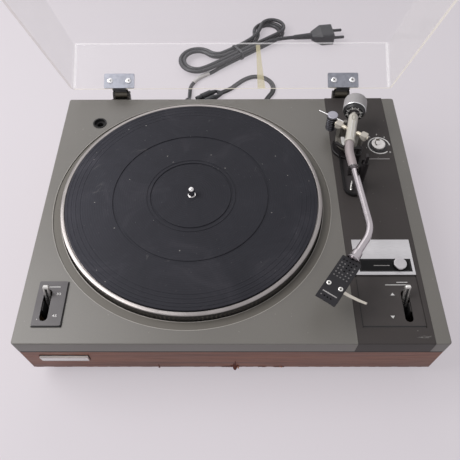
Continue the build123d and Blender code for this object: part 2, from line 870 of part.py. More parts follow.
# Platter: die-cast disc with a rim, a ring for the belt and a hub with the small gear
platter_bottom = platter_top - platter_side_h
hub_bottom = gear_bottom
hub_gear_h = gear_t + seat_gap
with BuildPart() as platter:
    with BuildSketch(Plane.XY.offset(platter_bottom)):
        with Locations((platter_x, platter_y)):
            Circle(platter_r)
    extrude(amount=platter_side_h)
    fillet(platter.faces().sort_by(Axis.Z)[-1].edges(), radius=platter_web / 3)
    with BuildSketch(Plane.XY.offset(mat_seat)):
        with Locations((platter_x, platter_y)):
            Circle(mat_r + run_gap)
    extrude(amount=mat_t, mode=Mode.SUBTRACT)
    with BuildSketch(Plane.XY.offset(platter_bottom)):
        with Locations((platter_x, platter_y)):
            Circle(platter_r - platter_wall)
            Circle(drive_ring_r, mode=Mode.SUBTRACT)
            Circle(drive_ring_r - drive_ring_wall)
            Circle(hub_r, mode=Mode.SUBTRACT)
    extrude(amount=web_bottom - platter_bottom, mode=Mode.SUBTRACT)
    with BuildSketch(Plane.XY.offset(platter_bottom)):
        with Locations((platter_x, platter_y)):
            Circle(drive_ring_r + overrun / 2)
            Circle(drive_ring_r, mode=Mode.SUBTRACT)
    extrude(amount=(platter_side_h - platter_web) * drive_flange_share)
    with BuildSketch(Plane.XY.offset(hub_bottom + hub_gear_h)):
        with Locations((platter_x, platter_y)):
            Circle(hub_r)
    extrude(amount=web_bottom - hub_bottom - hub_gear_h)
    with BuildSketch(Plane.XY.offset(hub_bottom)):
        with BuildLine(Plane(origin=(platter_x, platter_y, hub_bottom))):
            Polyline(*gear_outline(hub_gear_teeth, 0, gear_angle_deg), close=True)
        make_face()
    extrude(amount=hub_gear_h)
    with BuildSketch(Plane.XY.offset(hub_bottom)):
        with Locations((platter_x, platter_y)):
            Circle(spindle_shaft_r + run_gap)
    extrude(amount=mat_seat - hub_bottom, mode=Mode.SUBTRACT)
finish(platter.part, "platter")

groove_bottom = mat_top - mat_groove_depth
fine_groove_r = mat_inner_groove_r + 2 * mat_inner_groove_w
with BuildPart() as platter_mat:
    with BuildSketch(Plane.XY.offset(mat_seat)):
        with Locations((platter_x, platter_y)):
            Circle(mat_r)
            Circle(spindle_shaft_r + run_gap, mode=Mode.SUBTRACT)
    extrude(amount=mat_t)
    fillet(platter_mat.faces().sort_by(Axis.Z)[-1].edges().sort_by(SortBy.RADIUS)[-1], radius=mat_proud)
    grooves = (
        (mat_groove_r, mat_groove_w),
        (mat_inner_groove_r, mat_inner_groove_w),
        (fine_groove_r, mat_fine_groove_w),
    )
    for r, w in grooves:
        with BuildSketch(Plane.XY.offset(groove_bottom)):
            with Locations((platter_x, platter_y)):
                Circle(r + w / 2)
                Circle(r - w / 2, mode=Mode.SUBTRACT)
        extrude(amount=mat_groove_depth, mode=Mode.SUBTRACT)
finish(platter_mat.part, "platter_mat")

spindle_bottom = deck_top - spindle_below_deck
with BuildPart() as spindle:
    with BuildSketch(Plane.XY.offset(spindle_bottom)):
        with Locations((platter_x, platter_y)):
            Circle(spindle_shaft_r)
    extrude(amount=mat_top - spindle_bottom)
    with BuildSketch(Plane.XY.offset(mat_top)):
        with Locations((platter_x, platter_y)):
            Circle(spindle_r)
    extrude(amount=spindle_above_mat)
    fillet(spindle.edges().sort_by(Axis.Z)[-1], radius=spindle_dome_share * spindle_r)
finish(spindle.part, "spindle")

with BuildPart() as bearing_housing:
    with BuildSketch(Plane.XY.offset(spindle_bottom - bearing_cap_t)):
        with Locations((platter_x, platter_y)):
            Circle(bearing_r)
    extrude(amount=well_floor - spindle_bottom + bearing_cap_t)
    with BuildSketch(Plane.XY.offset(well_floor)):
        with Locations((platter_x, platter_y)):
            Circle(bearing_flange_r)
    extrude(amount=bearing_flange_t)
    with BuildSketch(Plane.XY.offset(spindle_bottom - run_gap)):
        with Locations((platter_x, platter_y)):
            Circle(spindle_shaft_r + run_gap)
    extrude(amount=well_floor + bearing_flange_t - spindle_bottom + run_gap, mode=Mode.SUBTRACT)
finish(bearing_housing.part, "bearing_housing")

# Return gear on its post, its toothless stretch turned to the hub
with BuildPart() as return_gear:
    with BuildSketch(Plane.XY.offset(gear_bottom)):
        with BuildLine(Plane(origin=(gear_x, gear_y, gear_bottom))):
            Polyline(*gear_outline(return_gear_teeth, gear_gap_deg, gear_angle_deg + half_turn), close=True)
        make_face()
        with Locations((gear_x, gear_y)):
            Circle(gear_post_r + run_gap, mode=Mode.SUBTRACT)
    extrude(amount=gear_t)
finish(return_gear.part, "return_gear")

# Motor under the well, its stepped pulley and the belt round the ring
motor_top = well_floor - well_floor_t
belt_mid = (platter_bottom + web_bottom) / 2
with BuildPart() as motor:
    with BuildSketch(Plane.XY.offset(motor_top - motor_plate_t)):
        with Locations((motor_x, motor_y)):
            Circle(motor_r)
        with Locations(*[(motor_x + x, motor_y + y) for x, y in motor_lugs]):
            Circle(motor_lug_end_r)
        make_hull()
    extrude(amount=motor_plate_t)
    with BuildSketch(Plane.XY.offset(motor_top - motor_h)):
        with Locations((motor_x, motor_y)):
            Circle(motor_r)
    extrude(amount=motor_h)
    fillet(motor.edges().sort_by(Axis.Z)[0], radius=motor_plate_t)
    with BuildSketch(Plane.XY.offset(motor_top - motor_h / 2)):
        with Locations((motor_x, motor_y)):
            Circle(motor_shaft_r + run_gap)
    extrude(amount=motor_h / 2, mode=Mode.SUBTRACT)
    with BuildSketch(Plane.XY.offset(motor_top)):
        with Locations((shifter_x, shifter_y)):
            Circle(shifter_rod_r)
    extrude(amount=belt_mid - motor_top)
finish(motor.part, "motor")

band_top = belt_mid + pulley_band_h / 2
band_bottom = band_top - 2 * pulley_band_h
with BuildPart() as motor_pulley:
    with BuildSketch(Plane.XY.offset(motor_top - motor_h / 2 + run_gap)):
        with Locations((motor_x, motor_y)):
            Circle(motor_shaft_r)
    extrude(amount=band_top - motor_top + motor_h / 2)
    with BuildSketch(Plane.XY.offset(band_bottom)):
        with Locations((motor_x, motor_y)):
            Circle(pulley_r + pulley_step)
    extrude(amount=pulley_band_h)
    with BuildSketch(Plane.XY.offset(band_bottom + pulley_band_h)):
        with Locations((motor_x, motor_y)):
            Circle(pulley_r)
    extrude(amount=pulley_band_h)
    with BuildSketch(Plane.XY.offset(band_top)):
        with Locations((motor_x, motor_y)):
            Circle(pulley_flange_r)
    extrude(amount=pulley_flange_t)
    with BuildSketch(Plane.XY.offset(band_bottom)):
        with Locations((motor_x, motor_y)):
            Circle(pulley_flange_r)
    extrude(amount=-pulley_flange_t)
finish(motor_pulley.part, "motor_pulley")

belt_ring_r = drive_ring_r + belt_gap
belt_pulley_r = pulley_r + belt_gap
with BuildPart() as drive_belt:
    with BuildSketch(Plane.XY.offset(belt_mid - belt_h / 2)):
        with Locations((platter_x, platter_y)):
            Circle(belt_ring_r + belt_t)
        with Locations((motor_x, motor_y)):
            Circle(belt_pulley_r + belt_t)
        make_hull()
    extrude(amount=belt_h)
    with BuildSketch(Plane.XY.offset(belt_mid - belt_h / 2)):
        with Locations((platter_x, platter_y)):
            Circle(belt_ring_r)
        with Locations((motor_x, motor_y)):
            Circle(belt_pulley_r)
        make_hull()
    extrude(amount=belt_h, mode=Mode.SUBTRACT)
finish(drive_belt.part, "drive_belt")

# Fork that shifts the belt: two prongs beside the belt on a bar that slides on its rod
belt_sin = (belt_ring_r - belt_pulley_r) / motor_dist
belt_cos = math.sqrt(1 - belt_sin**2)
inward_deg = motor_angle_deg + half_turn
belt_mean_r = belt_pulley_r + belt_t / 2
fork_run = shifter_offset * fork_share
fork_local = (fork_run * belt_cos - belt_mean_r * belt_sin, fork_run * belt_sin + belt_mean_r * belt_cos)
prong_r = shifter_rod_r * prong_share
prong_side = belt_t / 2 + prong_r + 2 * seat_gap
prongs = []
for side in (-1, 1):
    px = fork_local[0] - side * prong_side * belt_sin
    py = fork_local[1] + side * prong_side * belt_cos
    tx, ty = turned(px, py, inward_deg)
    prongs.append((motor_x + tx, motor_y + ty))
bar_top = band_bottom - pulley_flange_t - 2 * seat_gap
prong_top = belt_mid + belt_h / 2 + seat_gap
with BuildPart() as belt_shifter:
    with BuildSketch(Plane.XY.offset(bar_top - shifter_bar_t)):
        with Locations((shifter_x, shifter_y)):
            Circle(2 * shifter_rod_r)
        with Locations(*prongs):
            Circle(prong_r)
        make_hull()
        with Locations((shifter_x, shifter_y)):
            Circle(shifter_rod_r + run_gap, mode=Mode.SUBTRACT)
    extrude(amount=shifter_bar_t)
    with BuildSketch(Plane.XY.offset(bar_top)):
        with Locations(*prongs):
            Circle(prong_r)
    extrude(amount=prong_top - bar_top)
finish(belt_shifter.part, "belt_shifter")
print("fork above the motor when down", round(bar_top - shifter_bar_t - shifter_travel - motor_top, 2))

# Anti-skating dial on the arm panel
knob_bottom = panel_top + run_gap
with BuildPart() as anti_skate_knob:
    with BuildSketch(Plane.XY.offset(knob_bottom)):
        with Locations((knob_x, knob_y)):
            Circle(knob_skirt_r)
    extrude(amount=knob_skirt_h)
    with BuildSketch(Plane.XY.offset(knob_bottom + knob_skirt_h)):
        with Locations((knob_x, knob_y)):
            Circle(knob_r)
    extrude(amount=knob_h)
    fillet(anti_skate_knob.edges().sort_by(Axis.Z)[-1], radius=knob_skirt_h / 2)
    with BuildSketch(Plane.XY.offset(knob_bottom + knob_skirt_h)):
        with Locations((knob_x, knob_y - knob_r)):
            Rectangle(knob_pointer_w, 2 * (knob_skirt_r - knob_r))
    extrude(amount=knob_skirt_h)
    with BuildSketch(Plane.XY.offset(knob_bottom)):
        with Locations((knob_x, knob_y)):
            Circle(knob_stem_r)
    extrude(amount=-knob_stem_l)
finish(anti_skate_knob.part, "anti_skate_knob")

# Tonearm frames: the yoke stands upright and the arm leans in it, head raised
pivot = Vector(pivot_x, pivot_y, pivot_z)
gimbal = math.radians(gimbal_deg)
rise = math.radians(arm_rise_deg)
splay = math.radians(arm_splay_deg)
across = Vector(math.cos(gimbal), -math.sin(gimbal), 0)
rearward = Vector(math.sin(gimbal), math.cos(gimbal), 0)
arm_up = Vector(0, 0, math.cos(rise)) + rearward * math.sin(rise)
yoke_plane = Plane(origin=(pivot_x, pivot_y, 0), x_dir=across, z_dir=(0, 0, 1))
arm_plane = Plane(origin=pivot, x_dir=across, z_dir=arm_up)
ahead_x, ahead_y = math.sin(splay), -math.cos(splay)
elbow = (ahead_x * elbow_run, ahead_y * elbow_run)
bend = (bend_x, -bend_y)
collar_share = (collar_run - elbow_run) / math.dist(elbow, bend)
collar_x = elbow[0] + (bend[0] - elbow[0]) * collar_share
collar_y = elbow[1] + (bend[1] - elbow[1]) * collar_share


def in_arm(x, y):
    return arm_plane.from_local_coords(Vector(x, y, 0))


def across_arm(run):
    """Plane across the arm's straight rear end, so far ahead of the pivot."""
    return Plane(
        origin=in_arm(ahead_x * run, ahead_y * run),
        x_dir=in_arm(-ahead_y, ahead_x) - pivot,
        z_dir=in_arm(ahead_x, ahead_y) - pivot,
    )


# Arm base: a tray under the arm with the column that the yoke turns in
disc_bottom = deck_top + yoke_disc_up
lift_top = pivot_z - sleeve_r - seat_gap
tray_end_y = pivot_y - base_end_y
with BuildPart() as arm_base:
    for half, bottom, height, mode in (
        (base_half_w, 0, base_h, Mode.ADD),
        (base_half_w - base_wall, base_floor_t, base_h, Mode.SUBTRACT),
    ):
        with BuildSketch(Plane.XY.offset(panel_top + bottom)):
            with Locations((pivot_x + base_shift, (pivot_y + tray_end_y) / 2)):
                Rectangle(2 * half, base_end_y)
            with Locations((pivot_x + base_shift, tray_end_y)):
                Circle(half)
        extrude(amount=height, mode=mode)
    with BuildSketch(Plane.XY.offset(panel_top)):
        with Locations((lift_column_x, lift_column_y)):
            Circle(lift_column_r + base_wall)
    extrude(amount=base_h)
    with BuildSketch(Plane.XY.offset(panel_top)):
        with Locations((pivot_x, pivot_y)):
            Circle(column_base_r)
    extrude(amount=base_h)
    with BuildSketch(Plane.XY.offset(panel_top)):
        with Locations((pivot_x, pivot_y)):
            Circle(column_r + base_wall)
    extrude(amount=column_base_h)
    with BuildSketch(Plane.XY.offset(deck_top - column_below)):
        with Locations((pivot_x, pivot_y)):
            Circle(column_r)
    extrude(amount=disc_bottom - run_gap - deck_top + column_below)
    with BuildSketch(Plane.XY.offset(deck_top - column_below)):
        with Locations((pivot_x, pivot_y)):
            Circle(yoke_shaft_r + run_gap)
        with Locations((lift_column_x, lift_column_y)):
            Circle(lift_column_r - base_wall + run_gap)
    extrude(amount=column_below + yoke_disc_up, mode=Mode.SUBTRACT)
finish(arm_base.part, "arm_base")

# Gimbal yoke with its two blocks and the post of the side rod
upright_x = block_pitch / 2 - block_w / 2 + yoke_arm_t / 2
rod_z = pivot_z - rod_down
with BuildPart() as arm_yoke:
    with BuildSketch(yoke_plane.offset(disc_bottom)):
        Circle(yoke_disc_r)
        with Locations((-rod_post_x, rod_back)):
            Circle(rod_post_r)
    extrude(amount=yoke_disc_t)
    with BuildSketch(yoke_plane.offset(disc_bottom + yoke_disc_t)):
        with Locations((-upright_x, 0), (upright_x, 0)):
            Rectangle(yoke_arm_t, block_l)
    extrude(amount=pivot_z - disc_bottom - yoke_disc_t)
    with BuildSketch(yoke_plane.offset(pivot_z - block_h / 2)):
        with Locations((-block_pitch / 2, 0), (block_pitch / 2, 0)):
            RectangleRounded(block_w, block_l, base_wall)
    extrude(amount=block_h)
    with BuildSketch(Plane(origin=pivot - across * block_pitch, x_dir=rearward, z_dir=across)):
        Circle(pivot_screw_r + run_gap)
    extrude(amount=2 * block_pitch, mode=Mode.SUBTRACT)
    with BuildSketch(yoke_plane.offset(disc_bottom + yoke_disc_t)):
        with Locations((-rod_post_x, rod_back)):
            Circle(rod_post_r)
    extrude(amount=rod_z + rod_post_r - disc_bottom - yoke_disc_t)
    rod_start = pivot + rearward * rod_back - across * rod_post_x - Vector(0, 0, rod_down)
    with BuildSketch(Plane(origin=rod_start + across * rod_post_r, x_dir=rearward, z_dir=-across)):
        Circle(rod_r + run_gap)
    extrude(amount=2 * rod_post_r, mode=Mode.SUBTRACT)
    with BuildSketch(yoke_plane.offset(disc_bottom)):
        Circle(yoke_shaft_r)
    extrude(amount=-(yoke_disc_up + column_below - column_base_h))
finish(arm_yoke.part, "arm_yoke")

pin_start = sleeve_r - pivot_pin_depth
screw_start = sleeve_r / math.cos(splay) + overrun
screw_end = block_pitch / 2 + block_w / 2 + overrun
with BuildPart() as pivot_pins:
    for side in (-1, 1):
        outward = across * side
        with BuildSketch(Plane(origin=pivot + outward * pin_start, x_dir=rearward, z_dir=outward)):
            Circle(pivot_pin_r)
        extrude(amount=screw_start - pin_start)
        with BuildSketch(Plane(origin=pivot + outward * screw_start, x_dir=rearward, z_dir=outward)):
            Circle(pivot_screw_r)
        extrude(amount=screw_end - screw_start)
finish(pivot_pins.part, "pivot_pins")

with BuildPart() as rear_sleeve:
    with BuildSketch(across_arm(-sleeve_back)):
        Circle(sleeve_r)
    extrude(amount=sleeve_back + sleeve_front)
    chamfer(rear_sleeve.edges().filter_by(GeomType.CIRCLE), length=tube_wall)
    with BuildSketch(across_arm(-sleeve_back - stub_l)):
        Circle(stub_r)
    extrude(amount=stub_l)
    for side in (-1, 1):
        outward = across * side
        seat = pivot + outward * (pin_start - run_gap)
        with BuildSketch(Plane(origin=seat, x_dir=rearward, z_dir=outward)):
            Circle(pivot_pin_r + run_gap)
        extrude(amount=sleeve_r, mode=Mode.SUBTRACT)
finish(rear_sleeve.part, "rear_sleeve")

# Arm tube: thick as far as the collar, then thin round the bend to the headshell nut
tube_start = (ahead_x * sleeve_front, ahead_y * sleeve_front)
tube_runs = (
    ((tube_start, elbow, (collar_x, collar_y)), elbow_r, tube_r),
    (((collar_x, collar_y), bend, (bend_x, -nut_y)), bend_r, thin_tube_r),
)
with BuildPart() as arm_tube:
    for points, bend_radius, r in tube_runs:
        with BuildLine() as tube_line:
            FilletPolyline(*[in_arm(x, y) for x, y in points], radius=bend_radius)
        with BuildSketch(tube_line.line ^ 0):
            Circle(r)
            Circle(r - tube_wall, mode=Mode.SUBTRACT)
        sweep()
    collar_dir = in_arm(*bend) - in_arm(*elbow)
    collar_centre = in_arm(collar_x, collar_y)
    collar_start = collar_centre - collar_dir.normalized() * (collar_w / 2)
    with BuildSketch(Plane(origin=collar_start, z_dir=collar_dir)):
        Circle(collar_r)
        Circle(thin_tube_r - tube_wall, mode=Mode.SUBTRACT)
    extrude(amount=collar_w)
finish(arm_tube.part, "arm_tube")

# Counterweight and its dial on the stub
dial_start = sleeve_back + seat_gap
weight_front = dial_start + dial_l + run_gap
with BuildPart() as counterweight:
    with BuildSketch(across_arm(-weight_front - weight_l)):
        Circle(weight_r)
    extrude(amount=weight_l)
    chamfer(counterweight.edges().filter_by(GeomType.CIRCLE), length=tube_wall)
    with BuildSketch(across_arm(-weight_front - weight_l)):
        Circle(stub_r + run_gap)
    extrude(amount=weight_l, mode=Mode.SUBTRACT)
finish(counterweight.part, "counterweight")

with BuildPart() as weight_dial:
    with BuildSketch(across_arm(-dial_start - dial_l)):
        Circle(weight_r - tube_wall)
    with BuildSketch(across_arm(-dial_start)):
        Circle(dial_front_r)
    loft()
    with BuildSketch(across_arm(-dial_start - dial_l)):
        Circle(stub_r + run_gap)
    extrude(amount=dial_l, mode=Mode.SUBTRACT)
finish(weight_dial.part, "weight_dial")

# Side rod with its sliding weight
with BuildPart() as lateral_rod:
    with BuildSketch(Plane(origin=rod_start + across * rod_post_r, x_dir=rearward, z_dir=-across)):
        Circle(rod_r)
    extrude(amount=rod_l + rod_post_r)
finish(lateral_rod.part, "lateral_rod")

side_weight_bottom = rod_z + side_weight_above - side_weight_h
with BuildPart() as lateral_weight:
    with BuildSketch(yoke_plane.offset(side_weight_bottom)):
        with Locations((-side_weight_x, rod_back)):
            Circle(side_weight_r)
    extrude(amount=side_weight_h)
    chamfer(lateral_weight.edges().filter_by(GeomType.CIRCLE), length=tube_wall)
    with BuildSketch(Plane(origin=rod_start, x_dir=rearward, z_dir=-across)):
        Circle(rod_r + run_gap)
    extrude(amount=rod_l, mode=Mode.SUBTRACT)
finish(lateral_weight.part, "lateral_weight")

# Headshell end: nut, shell, screws, cartridge with its stylus, and the finger lift
nut_plane = Plane(origin=in_arm(bend_x, -nut_y), x_dir=across, z_dir=in_arm(0, -nut_y) - pivot)
with BuildPart() as locking_nut:
    with BuildSketch(nut_plane):
        Circle(nut_r)
    extrude(amount=nut_l)
    chamfer(locking_nut.edges().filter_by(GeomType.CIRCLE), length=tube_wall)
finish(locking_nut.part, "locking_nut")

head_y = -(nut_y + nut_l)
head_top = head_t / 2
head_under = head_top - head_wall
head_shares = ((0.46, 0.0), (0.5, 0.02), (0.5, 1.0))
head_points = [(bend_x + head_w * u, head_y - head_l * v) for u, v in head_shares]
head_points += [(2 * bend_x - x, y) for x, y in reversed(head_points)]
screw_places = [(bend_x + side * head_screw_side, head_y - head_screw_back) for side in (-1, 1)]
hole_r = head_wall / 2
with BuildPart() as headshell:
    with BuildSketch(arm_plane.offset(head_top - head_skirt)):
        with BuildLine():
            Polyline(*head_points, close=True)
        make_face()
    extrude(amount=head_skirt)
    with BuildSketch(arm_plane.offset(head_top - head_skirt)):
        with Locations((bend_x, head_y - head_l * head_pocket_mid_share)):
            Rectangle(head_w - 2 * head_wall, head_l * head_pocket_share - 2 * head_wall)
    extrude(amount=head_skirt - head_wall, mode=Mode.SUBTRACT)
    with BuildSketch(arm_plane.offset(head_under)):
        with Locations((bend_x, head_y - head_l * head_grid_share)):
            with GridLocations(head_w * head_grid_x_share, head_l * head_grid_y_share, *head_grid_counts):
                Circle(hole_r)
        with Locations((bend_x - head_w * head_holes_side_share, head_y - head_l * head_holes_share)):
            with GridLocations(head_w * head_holes_x_share, 0, *head_holes_counts):
                Circle(hole_r)
        with Locations(*screw_places):
            Circle(head_screw_shank_r + run_gap)
    extrude(amount=head_wall, mode=Mode.SUBTRACT)
finish(headshell.part, "headshell")

screw_grip = 2 * head_screw_h
screw_steps = ((0, head_screw_r, head_screw_h), (head_wall + screw_grip, head_screw_shank_r, 0))
with BuildPart() as headshell_screws:
    for depth, r, height in screw_steps:
        with BuildSketch(arm_plane.offset(head_top - depth)):
            with Locations(*screw_places):
                Circle(r)
        extrude(amount=depth + height)
finish(headshell_screws.part, "headshell_screws")

cartridge_rear = head_y - cartridge_back
with BuildPart() as cartridge:
    with BuildSketch(arm_plane.offset(head_under - cartridge_h)):
        with Locations((bend_x, cartridge_rear - cartridge_l / 2)):
            Rectangle(cartridge_w, cartridge_l)
    extrude(amount=cartridge_h)
    front_foot = cartridge.edges().sort_by(lambda e: (e.center() - arm_plane.origin).dot(arm_up))[:4]
    chamfer(front_foot, length=head_wall)
    with BuildSketch(arm_plane.offset(head_under - screw_grip)):
        with Locations(*screw_places):
            Circle(head_screw_shank_r + run_gap)
    extrude(amount=screw_grip, mode=Mode.SUBTRACT)
finish(cartridge.part, "cartridge")

stylus_drop = pivot_z - mat_top - record_t
stylus_top = head_under - cartridge_h
stylus_neck = stylus_tip_l - stylus_drop
stylus_y = cartridge_rear - cartridge_l
with BuildPart() as stylus:
    with BuildSketch(arm_plane.offset(stylus_neck)):
        with Locations((bend_x, stylus_y - stylus_tip_l / 2 + stylus_l / 2)):
            Rectangle(stylus_w, stylus_l)
    extrude(amount=stylus_top - stylus_neck)
    with BuildSketch(arm_plane.offset(stylus_neck)):
        with Locations((bend_x, stylus_y)):
            Circle(stylus_tip_r)
    with BuildSketch(arm_plane.offset(-stylus_drop)):
        with Locations((bend_x, stylus_y)):
            Circle(stylus_tip_r / 3)
    loft()
finish(stylus.part, "stylus")

lift_x = bend_x + head_w / 2
lift_y = head_y - lift_back
with BuildPart() as finger_lift:
    with BuildSketch(arm_plane.offset(head_under - lift_t)):
        with BuildLine():
            Polyline(
                (lift_x, lift_y - lift_w / 2),
                (lift_x + lift_l, lift_y + lift_skew - lift_tip_w / 2),
                (lift_x + lift_l, lift_y + lift_skew + lift_tip_w / 2),
                (lift_x, lift_y + lift_w / 2),
                close=True,
            )
        make_face()
    extrude(amount=lift_t)
finish(finger_lift.part, "finger_lift")

# Cueing lift: a curved bar under the arm on a piston in its housing
lift_sweep = lift_column_deg - lift_from_deg
with BuildPart() as lift_bar:
    with BuildSketch(Plane.XY.offset(lift_top - lift_bar_t)):
        with BuildLine():
            bar_outer_r = lift_bar_ring_r + lift_bar_w / 2
            bar_inner_r = lift_bar_ring_r - lift_bar_w / 2
            outer = CenterArc((pivot_x, pivot_y), bar_outer_r, lift_from_deg, lift_sweep)
            inner = CenterArc((pivot_x, pivot_y), bar_inner_r, lift_from_deg, lift_sweep)
            Line(outer @ 0, inner @ 0)
            Line(outer @ 1, inner @ 1)
        make_face()
        with Locations((lift_column_x, lift_column_y)):
            Circle(2 * lift_piston_r)
    extrude(amount=lift_bar_t)
    with BuildSketch(Plane.XY.offset(lift_top - lift_bar_t)):
        with Locations((lift_column_x, lift_column_y)):
            Circle(lift_piston_r)
    extrude(amount=-(lift_column_h + lift_travel))
finish(lift_bar.part, "lift_bar")

with BuildPart() as lift_housing:
    with BuildSketch(Plane.XY.offset(panel_top + base_h)):
        with Locations((lift_column_x, lift_column_y)):
            Circle(lift_column_r)
    extrude(amount=lift_column_h - base_h)
    chamfer(lift_housing.edges().sort_by(Axis.Z)[-1], length=tube_wall)
    with BuildSketch(Plane.XY.offset(panel_top + base_h)):
        with Locations((lift_column_x, lift_column_y)):
            Circle(lift_column_r - base_wall)
    extrude(amount=-(lift_column_h + base_h))
    with BuildSketch(Plane.XY.offset(panel_top + lift_column_h)):
        with Locations((lift_column_x, lift_column_y)):
            Circle(lift_piston_r + run_gap)
    extrude(amount=-(2 * lift_column_h - base_wall), mode=Mode.SUBTRACT)
finish(lift_housing.part, "lift_housing")

# Arm rest beside the tube, open to the platter side, and its latch
collar_spot = yoke_plane.from_local_coords(Vector(collar_x, collar_y, 0))
rest_x = collar_spot.X + rest_side
rest_y = collar_spot.Y
shelf_top = pivot_z - collar_r - seat_gap
arm_climb = collar_run * math.sin(rise)
latch_z = pivot_z + arm_climb + collar_r + latch_t / 2 + 2 * seat_gap
fork_w = latch_w + 2 * seat_gap
with BuildPart() as arm_rest:
    with BuildSketch(Plane.XY.offset(panel_top + base_floor_t)):
        with Locations((rest_x, rest_y)):
            Circle(rest_post_r)
    extrude(amount=latch_z + latch_t - panel_top - base_floor_t)
    with BuildSketch(Plane.XY.offset(shelf_top - rest_shelf_t)):
        with Locations((rest_x - rest_side / 2 - collar_r / 2, rest_y)):
            Rectangle(rest_side + collar_r, rest_shelf_w)
    extrude(amount=rest_shelf_t)
    with BuildSketch(Plane.XY.offset(latch_z - latch_t)):
        with Locations((rest_x, rest_y)):
            Rectangle(2 * rest_side, fork_w)
    extrude(amount=2 * latch_t, mode=Mode.SUBTRACT)
    with BuildSketch(Plane.XZ.offset(-rest_y - rest_post_r)):
        with Locations((rest_x, latch_z)):
            Circle(latch_axle_r + run_gap)
    extrude(amount=2 * rest_post_r, mode=Mode.SUBTRACT)
finish(arm_rest.part, "arm_rest")

latch_side = Plane.XZ.offset(-rest_y - latch_w / 2)
axle_side = Plane.XZ.offset(-rest_y - rest_post_r)
with BuildPart() as rest_latch:
    with BuildSketch(latch_side):
        with Locations((rest_x, latch_z)):
            Circle(latch_t * latch_hub_share)
        with Locations((rest_x, latch_z + latch_l / 2)):
            Rectangle(latch_t, latch_l)
        with Locations((rest_x, latch_z + latch_l)):
            Circle(latch_t / 2)
    extrude(amount=latch_w)
    with BuildSketch(axle_side):
        with Locations((rest_x, latch_z)):
            Circle(latch_axle_r)
    extrude(amount=2 * rest_post_r)
finish(rest_latch.part, "rest_latch")

# Lid: a clear shell drawn open, in a frame that leans back about the hinge pins
lid_plane = Plane(
    origin=(0, hinge_y, hinge_z),
    x_dir=(1, 0, 0),
    z_dir=(0, math.sin(lid_open), math.cos(lid_open)),
)
lid_w = deck_w - 2 * lid_side_inset
lid_front_y = front_y + lid_front_inset - hinge_y
lid_d = lid_back_y - lid_front_y
lid_mid_y = (lid_back_y + lid_front_y) / 2
hinges = (-hinge_pitch / 2, hinge_pitch / 2)
screw_xs = [x + side * hinge_screw_pitch / 2 for x in hinges for side in (-1, 1)]
lid_across = Plane(origin=lid_plane.origin, x_dir=(1, 0, 0), z_dir=-lid_plane.y_dir)
screw_z = lid_rim_gap + hinge_plate_h / 2
lid_inner_back = lid_back_y - lid_wall
with BuildPart() as lid_shell:
    with BuildSketch(lid_plane.offset(lid_rim_gap)):
        with Locations((0, lid_mid_y)):
            RectangleRounded(lid_w, lid_d, lid_corner_r)
    extrude(amount=lid_h)
    lid_edges = lid_shell.edges().sort_by(lambda e: (e.center() - lid_plane.origin).dot(lid_plane.z_dir))
    lid_top_edges = lid_edges[-lid_top_edge_count:]
    fillet(lid_top_edges, radius=lid_edge_r)
    with BuildSketch(lid_plane.offset(lid_rim_gap)):
        with Locations((0, lid_mid_y)):
            RectangleRounded(lid_w - 2 * lid_wall, lid_d - 2 * lid_wall, lid_corner_r - lid_wall)
    extrude(amount=lid_h - lid_wall, mode=Mode.SUBTRACT)
    with BuildSketch(lid_plane.offset(lid_rim_gap)):
        with Locations(*[(x, lid_back_y - lid_wall / 2) for x in hinges]):
            Rectangle(hinge_barrel_w + 2 * hinge_notch_gap, lid_wall + overrun)
    extrude(amount=hinge_plate_t + hinge_notch_gap, mode=Mode.SUBTRACT)
    with BuildSketch(lid_across.offset(-lid_back_y - overrun)):
        with Locations(*[(x, screw_z) for x in screw_xs]):
            Circle(screw_shank_r + run_gap)
    extrude(amount=lid_wall + 2 * overrun, mode=Mode.SUBTRACT)
finish(lid_shell.part, "lid_shell")

with BuildPart() as hinge_plates:
    with BuildSketch(lid_across.offset(-lid_inner_back)):
        with Locations(*[(x, screw_z) for x in hinges]):
            RectangleRounded(hinge_plate_w, hinge_plate_h, hinge_plate_t)
        with Locations(*[(x, screw_z) for x in screw_xs]):
            Circle(screw_shank_r + run_gap, mode=Mode.SUBTRACT)
    extrude(amount=hinge_plate_t)
    for x in hinges:
        with BuildSketch(lid_plane.offset(lid_rim_gap)):
            with Locations((x, (lid_inner_back - hinge_plate_t) / 2)):
                Rectangle(hinge_barrel_w, hinge_plate_t - lid_inner_back)
        extrude(amount=hinge_plate_t)
        with BuildSketch(Plane.YZ.offset(x - hinge_barrel_w / 2)):
            with Locations((hinge_y, hinge_z)):
                Circle(hinge_barrel_r)
        extrude(amount=hinge_barrel_w)
    with BuildSketch(Plane.YZ.offset(-hinge_pitch)):
        with Locations((hinge_y, hinge_z)):
            Circle(hinge_pin_r + run_gap)
    extrude(amount=2 * hinge_pitch, mode=Mode.SUBTRACT)
finish(hinge_plates.part, "hinge_plates")

with BuildPart() as hinge_screws:
    with BuildSketch(lid_across.offset(-lid_back_y)):
        with Locations(*[(x, screw_z) for x in screw_xs]):
            Circle(screw_shank_r)
    extrude(amount=lid_wall + hinge_plate_t)
    with BuildSketch(lid_across.offset(hinge_plate_t - lid_inner_back)):
        with Locations(*[(x, screw_z) for x in screw_xs]):
            Circle(hinge_screw_r)
    extrude(amount=hinge_screw_h)
finish(hinge_screws.part, "hinge_screws")

